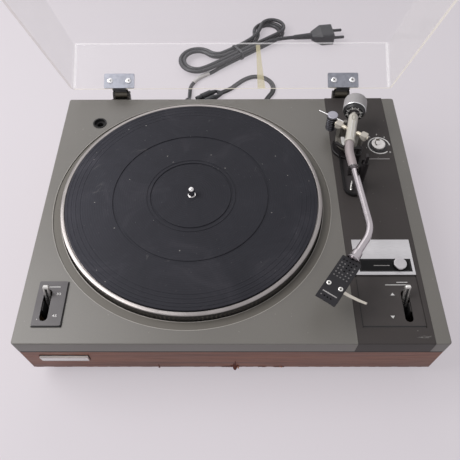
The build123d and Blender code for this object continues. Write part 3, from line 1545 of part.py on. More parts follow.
# Hinge brackets on the back of the deck, each with the pin between its ears
bracket_w = hinge_barrel_w + 2 * (hinge_ear_gap + hinge_ear_t)
ear_x = hinge_barrel_w / 2 + hinge_ear_gap
with BuildPart() as hinge_brackets:
    for x in hinges:
        with BuildSketch(Plane.XZ.offset(-back_y - hinge_bracket_t)):
            with Locations((x, hinge_z - hinge_bracket_h / 2 - hinge_pin_r)):
                RectangleRounded(bracket_w + 2 * hinge_ear_t, hinge_bracket_h, hinge_bracket_t)
        extrude(amount=hinge_bracket_t)
        for side in (-1, 1):
            with BuildSketch(Plane.YZ.offset(x + side * (ear_x + hinge_ear_t / 2) - hinge_ear_t / 2)):
                with Locations((hinge_y, hinge_z)):
                    Circle(hinge_pin_r + hinge_ear_t / 2)
                with Locations((back_y + hinge_bracket_t / 2, hinge_z - hinge_bracket_h / 2)):
                    Rectangle(hinge_bracket_t, hinge_bracket_h / 2)
                make_hull()
            extrude(amount=hinge_ear_t)
        with BuildSketch(Plane.YZ.offset(x - bracket_w / 2)):
            with Locations((hinge_y, hinge_z)):
                Circle(hinge_pin_r)
        extrude(amount=bracket_w)
finish(hinge_brackets.part, "hinge_brackets")

# Mains cord: it drops to the floor, is folded into a tied hank and ends in its plug
hank_pitch = 2 * mains_r + hank_gap
lane_b = hank_pitch / 2
lane_a = 3 * lane_b
low_z = tie_t + seat_gap + mains_r
high_z = low_z + hank_pitch
waist_at_y = wood_back + waist_y


def in_hank(x, y, z):
    wx, wy = turned(x, y, hank_deg)
    return (waist_x + wx, waist_at_y + wy, z)


def wrap(deg):
    return (deg + half_turn) % full_turn - half_turn


def bearing(centre, point):
    return math.degrees(math.atan2(point[1] - centre[1], point[0] - centre[0]))


def on_circle(centre, r, deg):
    x, y = turned(r, 0, deg)
    return centre[0] + x, centre[1] + y


def loop_arcs(loop, grow, lane_out, lane_in):
    """A loop of the hank: an arc off one lane, a large turn, and an arc onto the other lane."""
    cx, cy, r = loop
    r += grow
    side = 1 if cx > 0 else -1
    arcs = []
    for lane, n in ((lane_out, side), (lane_in, -side)):
        h = n * (cy - lane)
        rho = ((abs(cx) - hank_run) ** 2 + h**2 - r**2) / (2 * (r - h))
        centre = (side * hank_run, lane - n * rho)
        to_arc = bearing((cx, cy), centre)
        touch_deg = to_arc if rho > 0 or abs(rho) < r else to_arc + half_turn
        arcs.append((centre, abs(rho), lane, touch_deg))
    (c_out, r_out, lane, out_deg), (c_in, r_in, lane_back, in_deg) = arcs
    touch_out = on_circle((cx, cy), r, out_deg)
    touch_in = on_circle((cx, cy), r, in_deg)
    from_out = bearing(c_out, (side * hank_run, lane))
    from_in = bearing(c_in, touch_in)
    return [
        (c_out, r_out, from_out, wrap(bearing(c_out, touch_out) - from_out)),
        ((cx, cy), r, out_deg, (in_deg - out_deg) % full_turn),
        (c_in, r_in, from_in, wrap(bearing(c_in, (side * hank_run, lane_back)) - from_in)),
    ]


def arc_triples(centre, r, start, turn, z):
    """The arc in steps of a quarter turn or less, each as its first, middle and last point."""
    steps = math.ceil(4 * abs(turn) / full_turn)
    for k in range(steps):
        degs = [start + turn * (k + half / 2) / steps for half in range(3)]
        yield [in_hank(*on_circle(centre, r, deg), z) for deg in degs]


climb_r = (hank_run**2 + (hank_pitch / 2) ** 2) / hank_pitch
climb_deg = 2 * math.degrees(math.atan(hank_pitch / 2 / hank_run))


def climb_points(share):
    dx, dz = turned(0, climb_r, climb_deg * share)
    return dx, climb_r - dz


hank_pieces = [[in_hank(-hank_run, -lane_a, low_z), in_hank(hank_run, -lane_a, low_z)]]
hank_loops = (
    (hank_right, 0, -lane_a, lane_a, low_z),
    (hank_left, 0, lane_a, -lane_b, low_z),
    (hank_right, -hank_pitch, -lane_b, lane_b, low_z),
    (hank_top_left, 0, lane_b, -lane_b, high_z),
    (hank_top_right, 0, -lane_b, lane_a, high_z),
    (hank_top_left, hank_pitch, lane_a, -lane_a, high_z),
)
for loop, grow, lane_out, lane_in, z in hank_loops:
    for arc in loop_arcs(loop, grow, lane_out, lane_in):
        hank_pieces.extend(arc_triples(*arc, z))
    side = 1 if loop[0] > 0 else -1
    if lane_in == lane_b:
        climb = [climb_points(s) for s in (0, 1 / 2, 1)]
        rise = [in_hank(hank_run + dx, lane_b, low_z + dz) for dx, dz in climb]
        top = [in_hank(-hank_run - dx, lane_b, high_z - dz) for dx, dz in reversed(climb)]
        hank_pieces.extend([rise, top])
    else:
        hank_pieces.append([in_hank(side * hank_run, lane_in, z), in_hank(-side * hank_run, lane_in, z)])

with BuildPart() as mains_hank:
    with BuildLine() as hank_line:
        for piece in hank_pieces:
            if len(piece) > 2:
                ThreePointArc(*piece)
            else:
                Line(*piece)
    with BuildSketch(hank_line.line ^ 0):
        Circle(mains_r)
    sweep()
finish(mains_hank.part, "mains_hank")

# Least gap of the hank to itself, measured between points along its middle line
hank_wire = hank_line.wire()
hank_len = hank_wire.length
samples = math.ceil(hank_len / mains_r)
middle = [hank_wire.position_at(k / samples) for k in range(samples + 1)]
skip = math.ceil(4 * mains_r / (hank_len / samples))
least = min((p - q).length for k, p in enumerate(middle) for q in middle[k + skip :])
print("hank length", round(hank_len, 1), "least gap", round(least - 2 * mains_r, 2))
print("hank volume", round(mains_hank.part.volume), "of", round(math.pi * mains_r**2 * hank_len))


def route_radii(points):
    """Corner radii as large as the runs allow."""
    radii = []
    for before, corner, after in zip(points, points[1:], points[2:]):
        came = Vector(*corner) - Vector(*before)
        went = Vector(*after) - Vector(*corner)
        turn = math.radians(came.get_angle(went))
        radii.append(corner_share * min(came.length, went.length) / math.tan(turn / 2))
    return radii


relief_end_y = wood_back + relief_l
near_points = [(mains_exit_x, relief_end_y, mains_exit_z)]
near_points += [(mains_exit_x + x, wood_back + y, z) for x, y, z in near_drop]
near_points += [in_hank(x, y, z) for x, y, z in near_floor]
near_points += [in_hank(-hank_run - near_end_run, -lane_a, low_z), in_hank(-hank_run, -lane_a, low_z)]
plug_points = [in_hank(hank_run, -lane_a, high_z), in_hank(hank_run + plug_run, -lane_a, high_z)]
plug_points += [in_hank(x, y, z) for x, y, z in plug_route]
with BuildPart() as mains_cord:
    for points in (near_points, plug_points):
        radii = route_radii(points)
        with BuildLine() as cord_line:
            FilletPolyline(*points, radius=radii)
        with BuildSketch(cord_line.line ^ 0):
            Circle(mains_r)
        sweep()
        run = cord_line.wire().length
        print("mains radii", [round(r) for r in radii], "length", round(run, 1))
        print("volume so far", round(mains_cord.part.volume), "this run", round(math.pi * mains_r**2 * run))
finish(mains_cord.part, "mains_cord")

# Tie round the middle of the hank
tie_w_in = 2 * (lane_a + mains_r + seat_gap)
tie_h_in = high_z + mains_r + seat_gap - tie_t
tie_start = in_hank(-tie_w / 2, 0, tie_t + tie_h_in / 2)
hank_dir = Vector(*in_hank(hank_run, 0, 0)) - Vector(*in_hank(0, 0, 0))
with BuildPart() as cord_tie:
    with BuildSketch(Plane(origin=tie_start, x_dir=Vector(-hank_dir.Y, hank_dir.X, 0), z_dir=hank_dir)):
        RectangleRounded(tie_w_in + 2 * tie_t, tie_h_in + 2 * tie_t, mains_r + tie_t)
        RectangleRounded(tie_w_in, tie_h_in, mains_r, mode=Mode.SUBTRACT)
    extrude(amount=tie_w)
finish(cord_tie.part, "cord_tie")

# Mains plug with its relief and two round pins, lying flat on the floor
plug_start = Vector(*plug_points[-1])
plug_dir = plug_start - Vector(*plug_points[-2])
plug_side = Vector(-plug_dir.Y, plug_dir.X, 0).normalized()
plug_ahead = plug_dir.normalized()


def plug_plane(run):
    return Plane(origin=plug_start + plug_ahead * run, x_dir=plug_side, z_dir=plug_ahead)


taper_start = plug_relief_l
body_start = taper_start + plug_taper_l
with BuildPart() as mains_plug:
    with BuildSketch(plug_plane(0)):
        Circle(relief_tip_r)
    with BuildSketch(plug_plane(taper_start)):
        Circle(relief_r)
    loft()
    with BuildSketch(plug_plane(taper_start)):
        RectangleRounded(2 * plug_shoulder_share * relief_r, 2 * relief_r, plug_corner_r)
    with BuildSketch(plug_plane(body_start)):
        RectangleRounded(plug_w, plug_h, plug_corner_r)
    loft()
    with BuildSketch(plug_plane(body_start)):
        RectangleRounded(plug_w, plug_h, plug_corner_r)
    extrude(amount=plug_l)
    with BuildSketch(plug_plane(body_start + plug_l)):
        with Locations((-plug_pin_pitch / 2, 0), (plug_pin_pitch / 2, 0)):
            Circle(plug_pin_r)
    extrude(amount=plug_pin_l)
    along_plug = mains_plug.edges().sort_by(lambda e: (e.center() - plug_start).dot(plug_ahead))
    chamfer(along_plug[-2:], length=tie_t)
finish(mains_plug.part, "mains_plug")

# Strain reliefs of both cords in the back board
signal_start = (signal_exit_x, wood_back + signal_relief_l, signal_exit_z)
with BuildPart() as cord_reliefs:
    with BuildSketch(Plane.XZ.offset(-wood_back)):
        with Locations((mains_exit_x, mains_exit_z)):
            Circle(relief_neck_r)
    extrude(amount=wood_t)
    with BuildSketch(Plane.XZ.offset(-wood_back)):
        with Locations((mains_exit_x, mains_exit_z)):
            Circle(relief_r)
    with BuildSketch(Plane.XZ.offset(-relief_end_y)):
        with Locations((mains_exit_x, mains_exit_z)):
            Circle(relief_tip_r)
    loft()
    with BuildSketch(Plane.XZ.offset(-wood_back)):
        with Locations((signal_exit_x, signal_exit_z)):
            Rectangle(signal_w, signal_t)
    extrude(amount=wood_t)
    with BuildSketch(Plane.XZ.offset(-wood_back)):
        with Locations((signal_exit_x, signal_exit_z)):
            RectangleRounded(signal_relief_w, signal_relief_t, signal_relief_t / 3)
    extrude(amount=-signal_relief_l)
finish(cord_reliefs.part, "cord_reliefs")

# Signal lead: a flat pair that loops over the floor to its two plugs
signal_points = [signal_start] + [(signal_exit_x + x, wood_back + y, z) for x, y, z in signal_route]
signal_radii = route_radii(signal_points)
with BuildPart() as signal_lead:
    with BuildLine() as signal_line:
        FilletPolyline(*signal_points, radius=signal_radii)
    with BuildSketch(Plane(origin=signal_start, x_dir=(1, 0, 0), z_dir=(0, 1, 0))):
        SlotOverall(signal_w, signal_t)
    sweep()
finish(signal_lead.part, "signal_lead")
signal_len = signal_line.wire().length
signal_area = math.pi * signal_t**2 / 4 + (signal_w - signal_t) * signal_t
print("signal radii", [round(r) for r in signal_radii], "length", round(signal_len, 1))
print("signal volume", round(signal_lead.part.volume), "of", round(signal_area * signal_len))

phono_start = Vector(*signal_points[-1])
phono_dir = (phono_start - Vector(*signal_points[-2])).normalized()
phono_flat = Vector(phono_dir.X, phono_dir.Y, 0).normalized()
phono_side = Vector(-phono_flat.Y, phono_flat.X, 0)


def phono_plane(run, rise):
    origin = phono_start + phono_flat * run + Vector(0, 0, rise)
    return Plane(origin=origin, x_dir=phono_side, z_dir=phono_flat)


phono_rise = phono_r - phono_start.Z
phono_places = ((-phono_pitch / 2, 0), (phono_pitch / 2, 0))
with BuildPart() as phono_plugs:
    with BuildSketch(Plane(origin=phono_start, x_dir=phono_side, z_dir=phono_dir)):
        SlotOverall(signal_w, signal_t)
    with BuildSketch(phono_plane(phono_join_l, phono_rise)):
        SlotOverall(phono_pitch + 2 * phono_boot_r, 2 * phono_boot_r)
    loft()
    for place in phono_places:
        with BuildSketch(phono_plane(phono_join_l, phono_rise)):
            with Locations(place):
                Circle(phono_boot_r)
        with BuildSketch(phono_plane(phono_join_l + phono_boot_l, phono_rise)):
            with Locations(place):
                Circle(phono_tip_r)
        loft()
    with BuildSketch(phono_plane(phono_join_l + phono_boot_l, phono_rise)):
        with Locations(*phono_places):
            Circle(phono_r)
    extrude(amount=phono_l - phono_tip_l)
    with BuildSketch(phono_plane(phono_join_l + phono_boot_l + phono_l - phono_tip_l, phono_rise)):
        with Locations(*phono_places):
            Circle(phono_tip_r)
            Circle(phono_tip_r - tie_t, mode=Mode.SUBTRACT)
        with Locations(*phono_places):
            Circle(tie_t * phono_pin_share)
    extrude(amount=phono_tip_l)
finish(phono_plugs.part, "phono_plugs")
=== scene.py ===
import math
import random

import bmesh
import bpy
from mathutils import Matrix, Vector


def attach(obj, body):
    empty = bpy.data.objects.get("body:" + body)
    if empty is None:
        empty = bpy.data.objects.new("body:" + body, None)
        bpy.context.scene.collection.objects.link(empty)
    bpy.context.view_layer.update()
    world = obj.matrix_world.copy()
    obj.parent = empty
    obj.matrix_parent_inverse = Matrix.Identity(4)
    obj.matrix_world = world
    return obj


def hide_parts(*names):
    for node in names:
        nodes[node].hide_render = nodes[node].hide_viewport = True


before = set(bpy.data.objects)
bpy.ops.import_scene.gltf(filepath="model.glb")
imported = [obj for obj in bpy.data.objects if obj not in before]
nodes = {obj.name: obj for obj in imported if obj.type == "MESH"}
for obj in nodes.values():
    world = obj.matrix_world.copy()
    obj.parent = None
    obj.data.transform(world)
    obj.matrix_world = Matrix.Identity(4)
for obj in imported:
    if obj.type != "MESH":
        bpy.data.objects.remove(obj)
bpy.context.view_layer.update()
rng = random.Random(7)
MM = 0.001
TAU = 2 * math.pi

# Places in millimetres and turns in radians, as the CAD source has them
DECK_TOP, PANEL_TOP, PLATE_TOP, CUE_TOP, FOOT_H = 89.3, 89.6, 91.3, 88.3, 18.8
WOOD_BACK, MAT_TOP = 139.237, 100.5
PLATTER = (-44.55, -28.563)
KNOB = (182.95, 55.337)
BUTTON = (179.4, -115.16)
HINGE_X = (-147.5, 147.5)
SCREW_X = (-159.5, -135.5, 135.5, 159.5)
SIDE_WEIGHT = (124.06, 75.73)
BASE_DISC = (143.55, 50.737)
TRAY_X, TRAY_Y, TRAY_R, TRAY_IN = 143.55, -12.2, 12.1, 9.6
WELL_R, LEDGE_R = 150.4, 162
HEAD_X = 84.7
HANK_AT, HANK_TURN = (11.0, 341.237), math.radians(36.0)
ARM_TURN, ARM_TILT, REAR_TURN = math.radians(35.0), math.radians(1.6), math.radians(21.7)
LEVER_LEAN = math.radians(22.5)
WOOD_FACE, WOOD_INSIDE = -201.66, -201.0
PIVOT = Vector((143.55, 50.737, 121.3))
HINGE = Vector((0, 149.737, 89.3))
LID_OPEN = math.radians(64.2)

# The camera that took the photograph: place in millimetres, angles in radians, focal length in pixels
CAMERA_AT = (3.244, -384.369, 571.619)
CAMERA_YAW, CAMERA_PITCH, CAMERA_ROLL = -0.013, 0.9924, -0.0125
FOCAL_PX, PICTURE_PX, SENSOR_MM = 516.012, 460, 36


# ---------------------------------------------------------------- helpers
def link(o):
    bpy.context.scene.collection.objects.link(o)
    return o


def piece(name, verts, faces, mat, body, stands_for=(), sharp=32, bevel=None):
    """A mesh piece from points in millimetres."""
    me = bpy.data.meshes.new(name)
    me.from_pydata([(x * MM, y * MM, z * MM) for x, y, z in verts], [], faces)
    bm = bmesh.new()
    bm.from_mesh(me)
    bmesh.ops.remove_doubles(bm, verts=bm.verts, dist=1e-7)
    bmesh.ops.recalc_face_normals(bm, faces=bm.faces)
    bm.to_mesh(me)
    bm.free()
    me.polygons.foreach_set("use_smooth", [True] * len(me.polygons))
    me.set_sharp_from_angle(angle=math.radians(sharp))
    o = link(bpy.data.objects.new(name, me))
    me.materials.append(mat)
    if bevel:
        soften(o, bevel)
    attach(o, body)
    if stands_for:
        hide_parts(*stands_for)
    return o


def soften(o, width):
    """Rounded edges, wherever two faces meet sharply."""
    m = o.modifiers.new("edge", "BEVEL")
    m.width = width * MM
    m.segments = 2
    m.limit_method = "ANGLE"
    m.angle_limit = math.radians(40)
    m.harden_normals = True


def frame_at(origin, x_dir, z_dir):
    """A placing matrix, in millimetres, from an origin, a rough x direction and the z direction."""
    z = Vector(z_dir).normalized()
    y = z.cross(Vector(x_dir)).normalized()
    x = y.cross(z)
    m = Matrix((x, y, z)).transposed().to_4x4()
    m.translation = Vector(origin)
    return m


def at(x, y, z=0):
    return Matrix.Translation((x, y, z))


def lathe(profile, n=64, wobble=None):
    """Points (radius, height) turned about z. A radius of nought closes the end."""
    verts, faces, rows = [], [], []
    for r, h in profile:
        if r == 0:
            rows.append([len(verts)])
            verts.append((0, 0, h))
            continue
        rows.append(range(len(verts), len(verts) + n))
        for k in range(n):
            a = TAU * k / n
            rr = wobble(r, h, a) if wobble else r
            verts.append((rr * math.cos(a), rr * math.sin(a), h))
    for low, high in zip(rows, rows[1:]):
        for k in range(n):
            a, b = k, (k + 1) % n
            if len(low) == 1 and len(high) == 1:
                continue
            if len(low) == 1:
                faces.append((low[0], high[b], high[a]))
            elif len(high) == 1:
                faces.append((low[a], low[b], high[0]))
            else:
                faces.append((low[a], low[b], high[b], high[a]))
    return verts, faces


def ring(profile, n=64):
    """A closed profile turned about z."""
    return lathe(profile + profile[:1], n)


def loft(sections):
    """A closed skin over outlines that have the same number of points."""
    n, last = len(sections[0]), len(sections) - 1
    faces = [(b + i, b + (i + 1) % n, b + n + (i + 1) % n, b + n + i) for b in range(0, n * last, n)
        for i in range(n)]
    faces += [tuple(reversed(range(n))), tuple(range(n * last, n * last + n))]
    return [tuple(p) for outline in sections for p in outline], faces


def prism(outline, z0, z1):
    """An outline in x and y between two heights."""
    return loft([[(x, y, z) for x, y in outline] for z in (z0, z1)])


def rounded(cx, cy, w, h, r, steps):
    """The outline of a rectangle with round corners."""
    out = []
    for sx, sy, a0 in ((1, 1, 0), (-1, 1, 90), (-1, -1, 180), (1, -1, 270)):
        for k in range(steps + 1):
            a = math.radians(a0 + 90 * k / steps)
            out.append((cx + sx * (w / 2 - r) + r * math.cos(a), cy + sy * (h / 2 - r) + r * math.sin(a)))
    return out


def box(x0, y0, z0, x1, y1, z1):
    return prism([(x0, y0), (x1, y0), (x1, y1), (x0, y1)], z0, z1)


def merged(*parts):
    verts, faces = [], []
    for v, f in parts:
        base = len(verts)
        verts += v
        faces += [tuple(i + base for i in face) for face in f]
    return verts, faces


def put(m, part):
    """A part, points and faces, moved by a placing matrix."""
    return [tuple(m @ Vector(v)) for v in part[0]], part[1]


def swept(points, radius, n=24):
    """A round tube along points. The radius is a number, or one per point."""
    pts = [Vector(p) for p in points]
    radii = radius if hasattr(radius, "__len__") else [radius] * len(pts)
    dirs = []
    for k in range(len(pts)):
        a, b = pts[max(k - 1, 0)], pts[min(k + 1, len(pts) - 1)]
        dirs.append((b - a).normalized())
    side = dirs[0].orthogonal().normalized()
    sections = []
    for p, d, r in zip(pts, dirs, radii):
        side = (side - d * side.dot(d)).normalized()
        other = d.cross(side)
        angles = [TAU * k / n for k in range(n)]
        sections.append([p + side * (r * math.cos(a)) + other * (r * math.sin(a)) for a in angles])
    return loft(sections)


# ---------------------------------------------------------------- materials
def new_material(name):
    m = bpy.data.materials.new(name)
    m.use_nodes = True
    nt = m.node_tree
    return m, nt, nt.nodes["Principled BSDF"]


def coords(nt, scale=(1, 1, 1), centre=(0, 0, 0), turn=(0, 0, 0)):
    tex = nt.nodes.new("ShaderNodeTexCoord")
    mp = nt.nodes.new("ShaderNodeMapping")
    mp.vector_type = "TEXTURE"
    mp.inputs["Location"].default_value = centre
    mp.inputs["Rotation"].default_value = turn
    mp.inputs["Scale"].default_value = scale
    nt.links.new(tex.outputs["Object"], mp.inputs["Vector"])
    return mp.outputs["Vector"]


def noise(nt, vector, scale, detail=4, rough=0.55, distortion=0.0):
    n = nt.nodes.new("ShaderNodeTexNoise")
    n.inputs["Scale"].default_value = scale
    n.inputs["Detail"].default_value = detail
    n.inputs["Roughness"].default_value = rough
    n.inputs["Distortion"].default_value = distortion
    nt.links.new(vector, n.inputs["Vector"])
    return n.outputs["Fac"]


def ramp(nt, fac, stops):
    r = nt.nodes.new("ShaderNodeValToRGB")
    while len(r.color_ramp.elements) < len(stops):
        r.color_ramp.elements.new(0.5)
    for e, (p, c) in zip(r.color_ramp.elements, stops):
        e.position = p
        e.color = (c, c, c, 1) if not hasattr(c, "__len__") else (*c, 1)
    nt.links.new(fac, r.inputs["Fac"])
    return r.outputs["Color"]


def maths(nt, op, a, b=None):
    n = nt.nodes.new("ShaderNodeMath")
    n.operation = op
    for s, v in zip(n.inputs, (a, b)):
        if v is None:
            continue
        if isinstance(v, (int, float)):
            s.default_value = v
        else:
            nt.links.new(v, s)
    return n.outputs["Value"]


def mixed(nt, fac, a, b, mode="MIX"):
    n = nt.nodes.new("ShaderNodeMix")
    n.data_type = "RGBA"
    n.blend_type = mode
    for s, v in ((n.inputs["Factor"], fac), (n.inputs["A"], a), (n.inputs["B"], b)):
        if isinstance(v, (int, float)):
            s.default_value = v
        elif isinstance(v, tuple):
            s.default_value = (*v, 1) if len(v) == 3 else v
        else:
            nt.links.new(v, s)
    return n.outputs["Result"]


def times(nt, a, b):
    """One tone darkened or lightened by another."""
    return mixed(nt, 1.0, a, b, "MULTIPLY")


def bump(nt, bsdf, height, strength, distance):
    """Adds relief to what the normal already has. The distance is in millimetres."""
    b = nt.nodes.new("ShaderNodeBump")
    b.inputs["Strength"].default_value = strength
    b.inputs["Distance"].default_value = distance * MM
    nt.links.new(height, b.inputs["Height"])
    old = bsdf.inputs["Normal"]
    if old.is_linked:
        nt.links.new(old.links[0].from_socket, b.inputs["Normal"])
    nt.links.new(b.outputs["Normal"], old)


def dress(nt, bsdf, tone, rough, metal=0.0, spec=None):
    """Joins tone and roughness to the shader and sets its constants on their sockets."""
    nt.links.new(tone, bsdf.inputs["Base Color"])
    nt.links.new(rough, bsdf.inputs["Roughness"])
    bsdf.inputs["Metallic"].default_value = metal
    if spec is not None:
        bsdf.inputs["Specular IOR Level"].default_value = spec


def shade(c, k):
    return tuple(min(1.0, x * k) for x in c)


def srgb(r, g, b):
    return tuple(((c / 255 + 0.055) / 1.055) ** 2.4 for c in (r, g, b))


def surface(name, colour, rough=0.5, metal=0.0, vary=0.12, grain=900, bump_mm=0.02, dust=0.0, spec=None,
        blotch=60):
    """A painted, moulded or plated finish: uneven tone, fine grain, and a little dust."""
    m, nt, bsdf = new_material(name)
    vec = coords(nt)
    slow = noise(nt, vec, blotch, 3)
    fine = noise(nt, vec, grain, 2)
    tone = ramp(nt, slow, [(0.3, shade(colour, 1 - vary)), (0.7, shade(colour, 1 + vary))])
    speck = ramp(nt, fine, [(0.35, 1 - vary / 2), (0.65, 1.0)])
    col = times(nt, tone, speck)
    if dust:
        dusty = noise(nt, vec, 260, 6, 0.7)
        mask = ramp(nt, dusty, [(0.6, 0.0), (0.72, dust)])
        col = mixed(nt, mask, col, (0.55, 0.54, 0.52))
    matt = ramp(nt, slow, [(0.25, max(0.02, rough - 0.08)), (0.75, min(1, rough + 0.08))])
    dress(nt, bsdf, col, matt, metal, spec)
    bump(nt, bsdf, fine, 0.5, bump_mm)
    return m


def rings(nt, vector, scale):
    w = nt.nodes.new("ShaderNodeTexWave")
    w.wave_type = "RINGS"
    w.rings_direction = "Z"
    w.inputs["Scale"].default_value = scale
    nt.links.new(vector, w.inputs["Vector"])
    return w


def turned_metal(name, colour, centre, rough, lines=900, strength=0.25):
    """Metal with fine rings of the cutting tool about an upright axis."""
    m, nt, bsdf = new_material(name)
    vec = coords(nt, centre=(centre[0] * MM, centre[1] * MM, 0))
    w = rings(nt, vec, lines)
    w.inputs["Distortion"].default_value = 1.0
    w.inputs["Detail"].default_value = 3
    slow = noise(nt, vec, 40, 3)
    tone = ramp(nt, slow, [(0.3, shade(colour, 0.9)), (0.7, shade(colour, 1.06))])
    line = ramp(nt, w.outputs["Fac"], [(0.2, 0.9), (0.8, 1.0)])
    matt = ramp(nt, slow, [(0.3, rough - 0.05), (0.7, rough + 0.07)])
    dress(nt, bsdf, times(nt, tone, line), matt, 1.0)
    bump(nt, bsdf, w.outputs["Fac"], strength, 0.02)
    return m


def brushed(name, colour, rough):
    """Aluminium brushed along x."""
    m, nt, bsdf = new_material(name)
    vec = coords(nt, scale=(20, 1, 1))
    fine = noise(nt, vec, 2600, 3)
    slow = noise(nt, vec, 90, 3)
    tone = ramp(nt, slow, [(0.3, shade(colour, 0.93)), (0.7, shade(colour, 1.05))])
    line = ramp(nt, fine, [(0.35, 0.86), (0.65, 1.0)])
    matt = ramp(nt, fine, [(0.3, rough - 0.06), (0.7, rough + 0.1)])
    dress(nt, bsdf, times(nt, tone, line), matt, 0.6)
    bump(nt, bsdf, fine, 0.3, 0.01)
    return m


# ---------------------------------------------------------------- camera
def place_camera():
    yaw, pitch, roll = CAMERA_YAW, CAMERA_PITCH, CAMERA_ROLL
    fwd = Vector((math.sin(yaw) * math.cos(pitch), math.cos(yaw) * math.cos(pitch), -math.sin(pitch)))
    right = Vector((math.cos(yaw), -math.sin(yaw), 0))
    up = right.cross(fwd)
    r2 = right * math.cos(roll) + up * math.sin(roll)
    u2 = up * math.cos(roll) - right * math.sin(roll)
    cam = link(bpy.data.objects.new("camera", bpy.data.cameras.new("camera")))
    m = Matrix((r2, u2, -fwd)).transposed().to_4x4()
    m.translation = Vector(CAMERA_AT) * MM
    cam.matrix_world = m
    cam.data.sensor_width = SENSOR_MM
    cam.data.lens = SENSOR_MM * FOCAL_PX / PICTURE_PX
    cam.data.clip_start = 0.02
    cam.data.clip_end = 20
    bpy.context.scene.camera = cam


place_camera()


# ---------------------------------------------------------------- cords
def in_hank(x, y, z):
    c, s = math.cos(HANK_TURN), math.sin(HANK_TURN)
    return (HANK_AT[0] + x * c - y * s, HANK_AT[1] + x * s + y * c, z)


def spline_curve(name, points, radius, mat):
    cu = bpy.data.curves.new(name, "CURVE")
    cu.dimensions = "3D"
    sp = cu.splines.new("NURBS")
    sp.points.add(len(points) - 1)
    for p, co in zip(sp.points, points):
        p.co = (co[0] * MM, co[1] * MM, co[2] * MM, 1)
    sp.order_u = 3
    sp.use_endpoint_u = True
    sp.resolution_u = 16
    cu.bevel_depth = radius * MM
    cu.bevel_resolution = 5
    cu.use_fill_caps = True
    cu.materials.append(mat)
    return link(bpy.data.objects.new(name, cu))


def curve_line(o):
    """Points that a curve object follows, read without its bevel."""
    data = o.data.copy()
    data.bevel_depth = 0
    bare = link(bpy.data.objects.new("bare_line", data))
    bpy.context.view_layer.update()
    me = bpy.data.meshes.new_from_object(bare)
    line = [v.co.copy() for v in me.vertices]
    bpy.data.objects.remove(bare)
    bpy.data.meshes.remove(me)
    bpy.data.curves.remove(data)
    return line


cord_pvc = surface("cord_pvc", (0.017, 0.018, 0.023), 0.36, grain=700, bump_mm=0.03, vary=0.14, dust=0.12)
lead_pvc = surface("lead_pvc", (0.024, 0.024, 0.027), 0.46, grain=700, bump_mm=0.03, vary=0.14, dust=0.2)
plug_pvc = surface("plug_pvc", (0.022, 0.023, 0.028), 0.4, grain=1100, bump_mm=0.05, vary=0.12, dust=0.2)

LOW, HIGH, LANE_A, LANE_B, RUN, PITCH = 4.2, 10.9, 10.05, 3.35, 20.0, 6.7
EXIT_MAINS = (-66.0, 165.237, 42.0)
HANK_RIGHT, HANK_LEFT = (78.0, 16.0, 25.0), (-66.0, 26.0, 25.0)
HANK_TOP_LEFT, HANK_TOP_RIGHT = (-68.0, 20.0, 22.0), (86.0, 16.0, 20.0)


def bearing(c, p):
    return math.atan2(p[1] - c[1], p[0] - c[0])


def turn_points(big, grow, lane_out, lane_in, z):
    """Control points of one turn of the hank: the corners of a polygon that touches it on its outside."""
    cx, cy, r = big
    r += grow
    side = 1 if cx > 0 else -1
    ends = []
    for lane, n in ((lane_out, side), (lane_in, -side)):
        h = n * (cy - lane)
        rho = ((abs(cx) - RUN) ** 2 + h * h - r * r) / (2 * (r - h))
        c = (side * RUN, lane - n * rho)
        touch = bearing((cx, cy), c) + (0 if rho > 0 or abs(rho) < r else math.pi)
        ends.append((c, abs(rho), lane, touch))
    (c1, r1, lane1, a1), (c2, r2, lane2, a2) = ends
    t1 = (cx + r * math.cos(a1), cy + r * math.sin(a1))
    t2 = (cx + r * math.cos(a2), cy + r * math.sin(a2))
    wrap = lambda a: (a + math.pi) % TAU - math.pi
    f1, f2 = bearing(c1, (side * RUN, lane1)), bearing(c2, t2)
    arcs = ((c1, r1, f1, wrap(bearing(c1, t1) - f1)), ((cx, cy), r, a1, (a2 - a1) % TAU),
            (c2, r2, f2, wrap(bearing(c2, (side * RUN, lane2)) - f2)))
    out = []
    for c, rad, start, sweep in arcs:
        steps = max(1, math.ceil(abs(sweep) / math.radians(31)))
        reach = rad / math.cos(sweep / steps / 2)
        for k in range(steps):
            a = start + sweep * (k + 0.5) / steps
            out.append(in_hank(c[0] + reach * math.cos(a), c[1] + reach * math.sin(a), z))
    return out


mains = [EXIT_MAINS, (-66, 183.237, 42), (-66, 199.237, 34), (-66, 212.237, 20.5), (-66, 226.237, 8.5),
    (-66, 243.237, 3)]
mains += [in_hank(*p) for p in ((-107.6, -17, 3), (-84.5, -9.4, 3), (-61, -12, 3.5), (-39, -LANE_A, LOW))]
mains += turn_points(HANK_RIGHT, 0, -LANE_A, LANE_A, LOW)
mains += turn_points(HANK_LEFT, 0, LANE_A, -LANE_B, LOW)
mains += turn_points(HANK_RIGHT, -PITCH, -LANE_B, LANE_B, LOW)
mains += [in_hank(8, LANE_B, LOW), in_hank(-8, LANE_B, HIGH)]
mains += turn_points(HANK_TOP_LEFT, 0, LANE_B, -LANE_B, HIGH)
mains += turn_points(HANK_TOP_RIGHT, 0, -LANE_B, LANE_A, HIGH)
mains += turn_points(HANK_TOP_LEFT, PITCH, LANE_A, -LANE_A, HIGH)
mains += [in_hank(*p) for p in ((20, -LANE_A, HIGH), (40, -LANE_A, HIGH), (58, -11.6, 10.8),
    (73, -15.2, 10.4), (86, -20.6, 10), (99, -27.8, 10))]
mains_cord = spline_curve("mains_flex", mains, 3.0, cord_pvc)
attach(mains_cord, "cabinet")
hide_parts("mains_cord", "mains_hank")

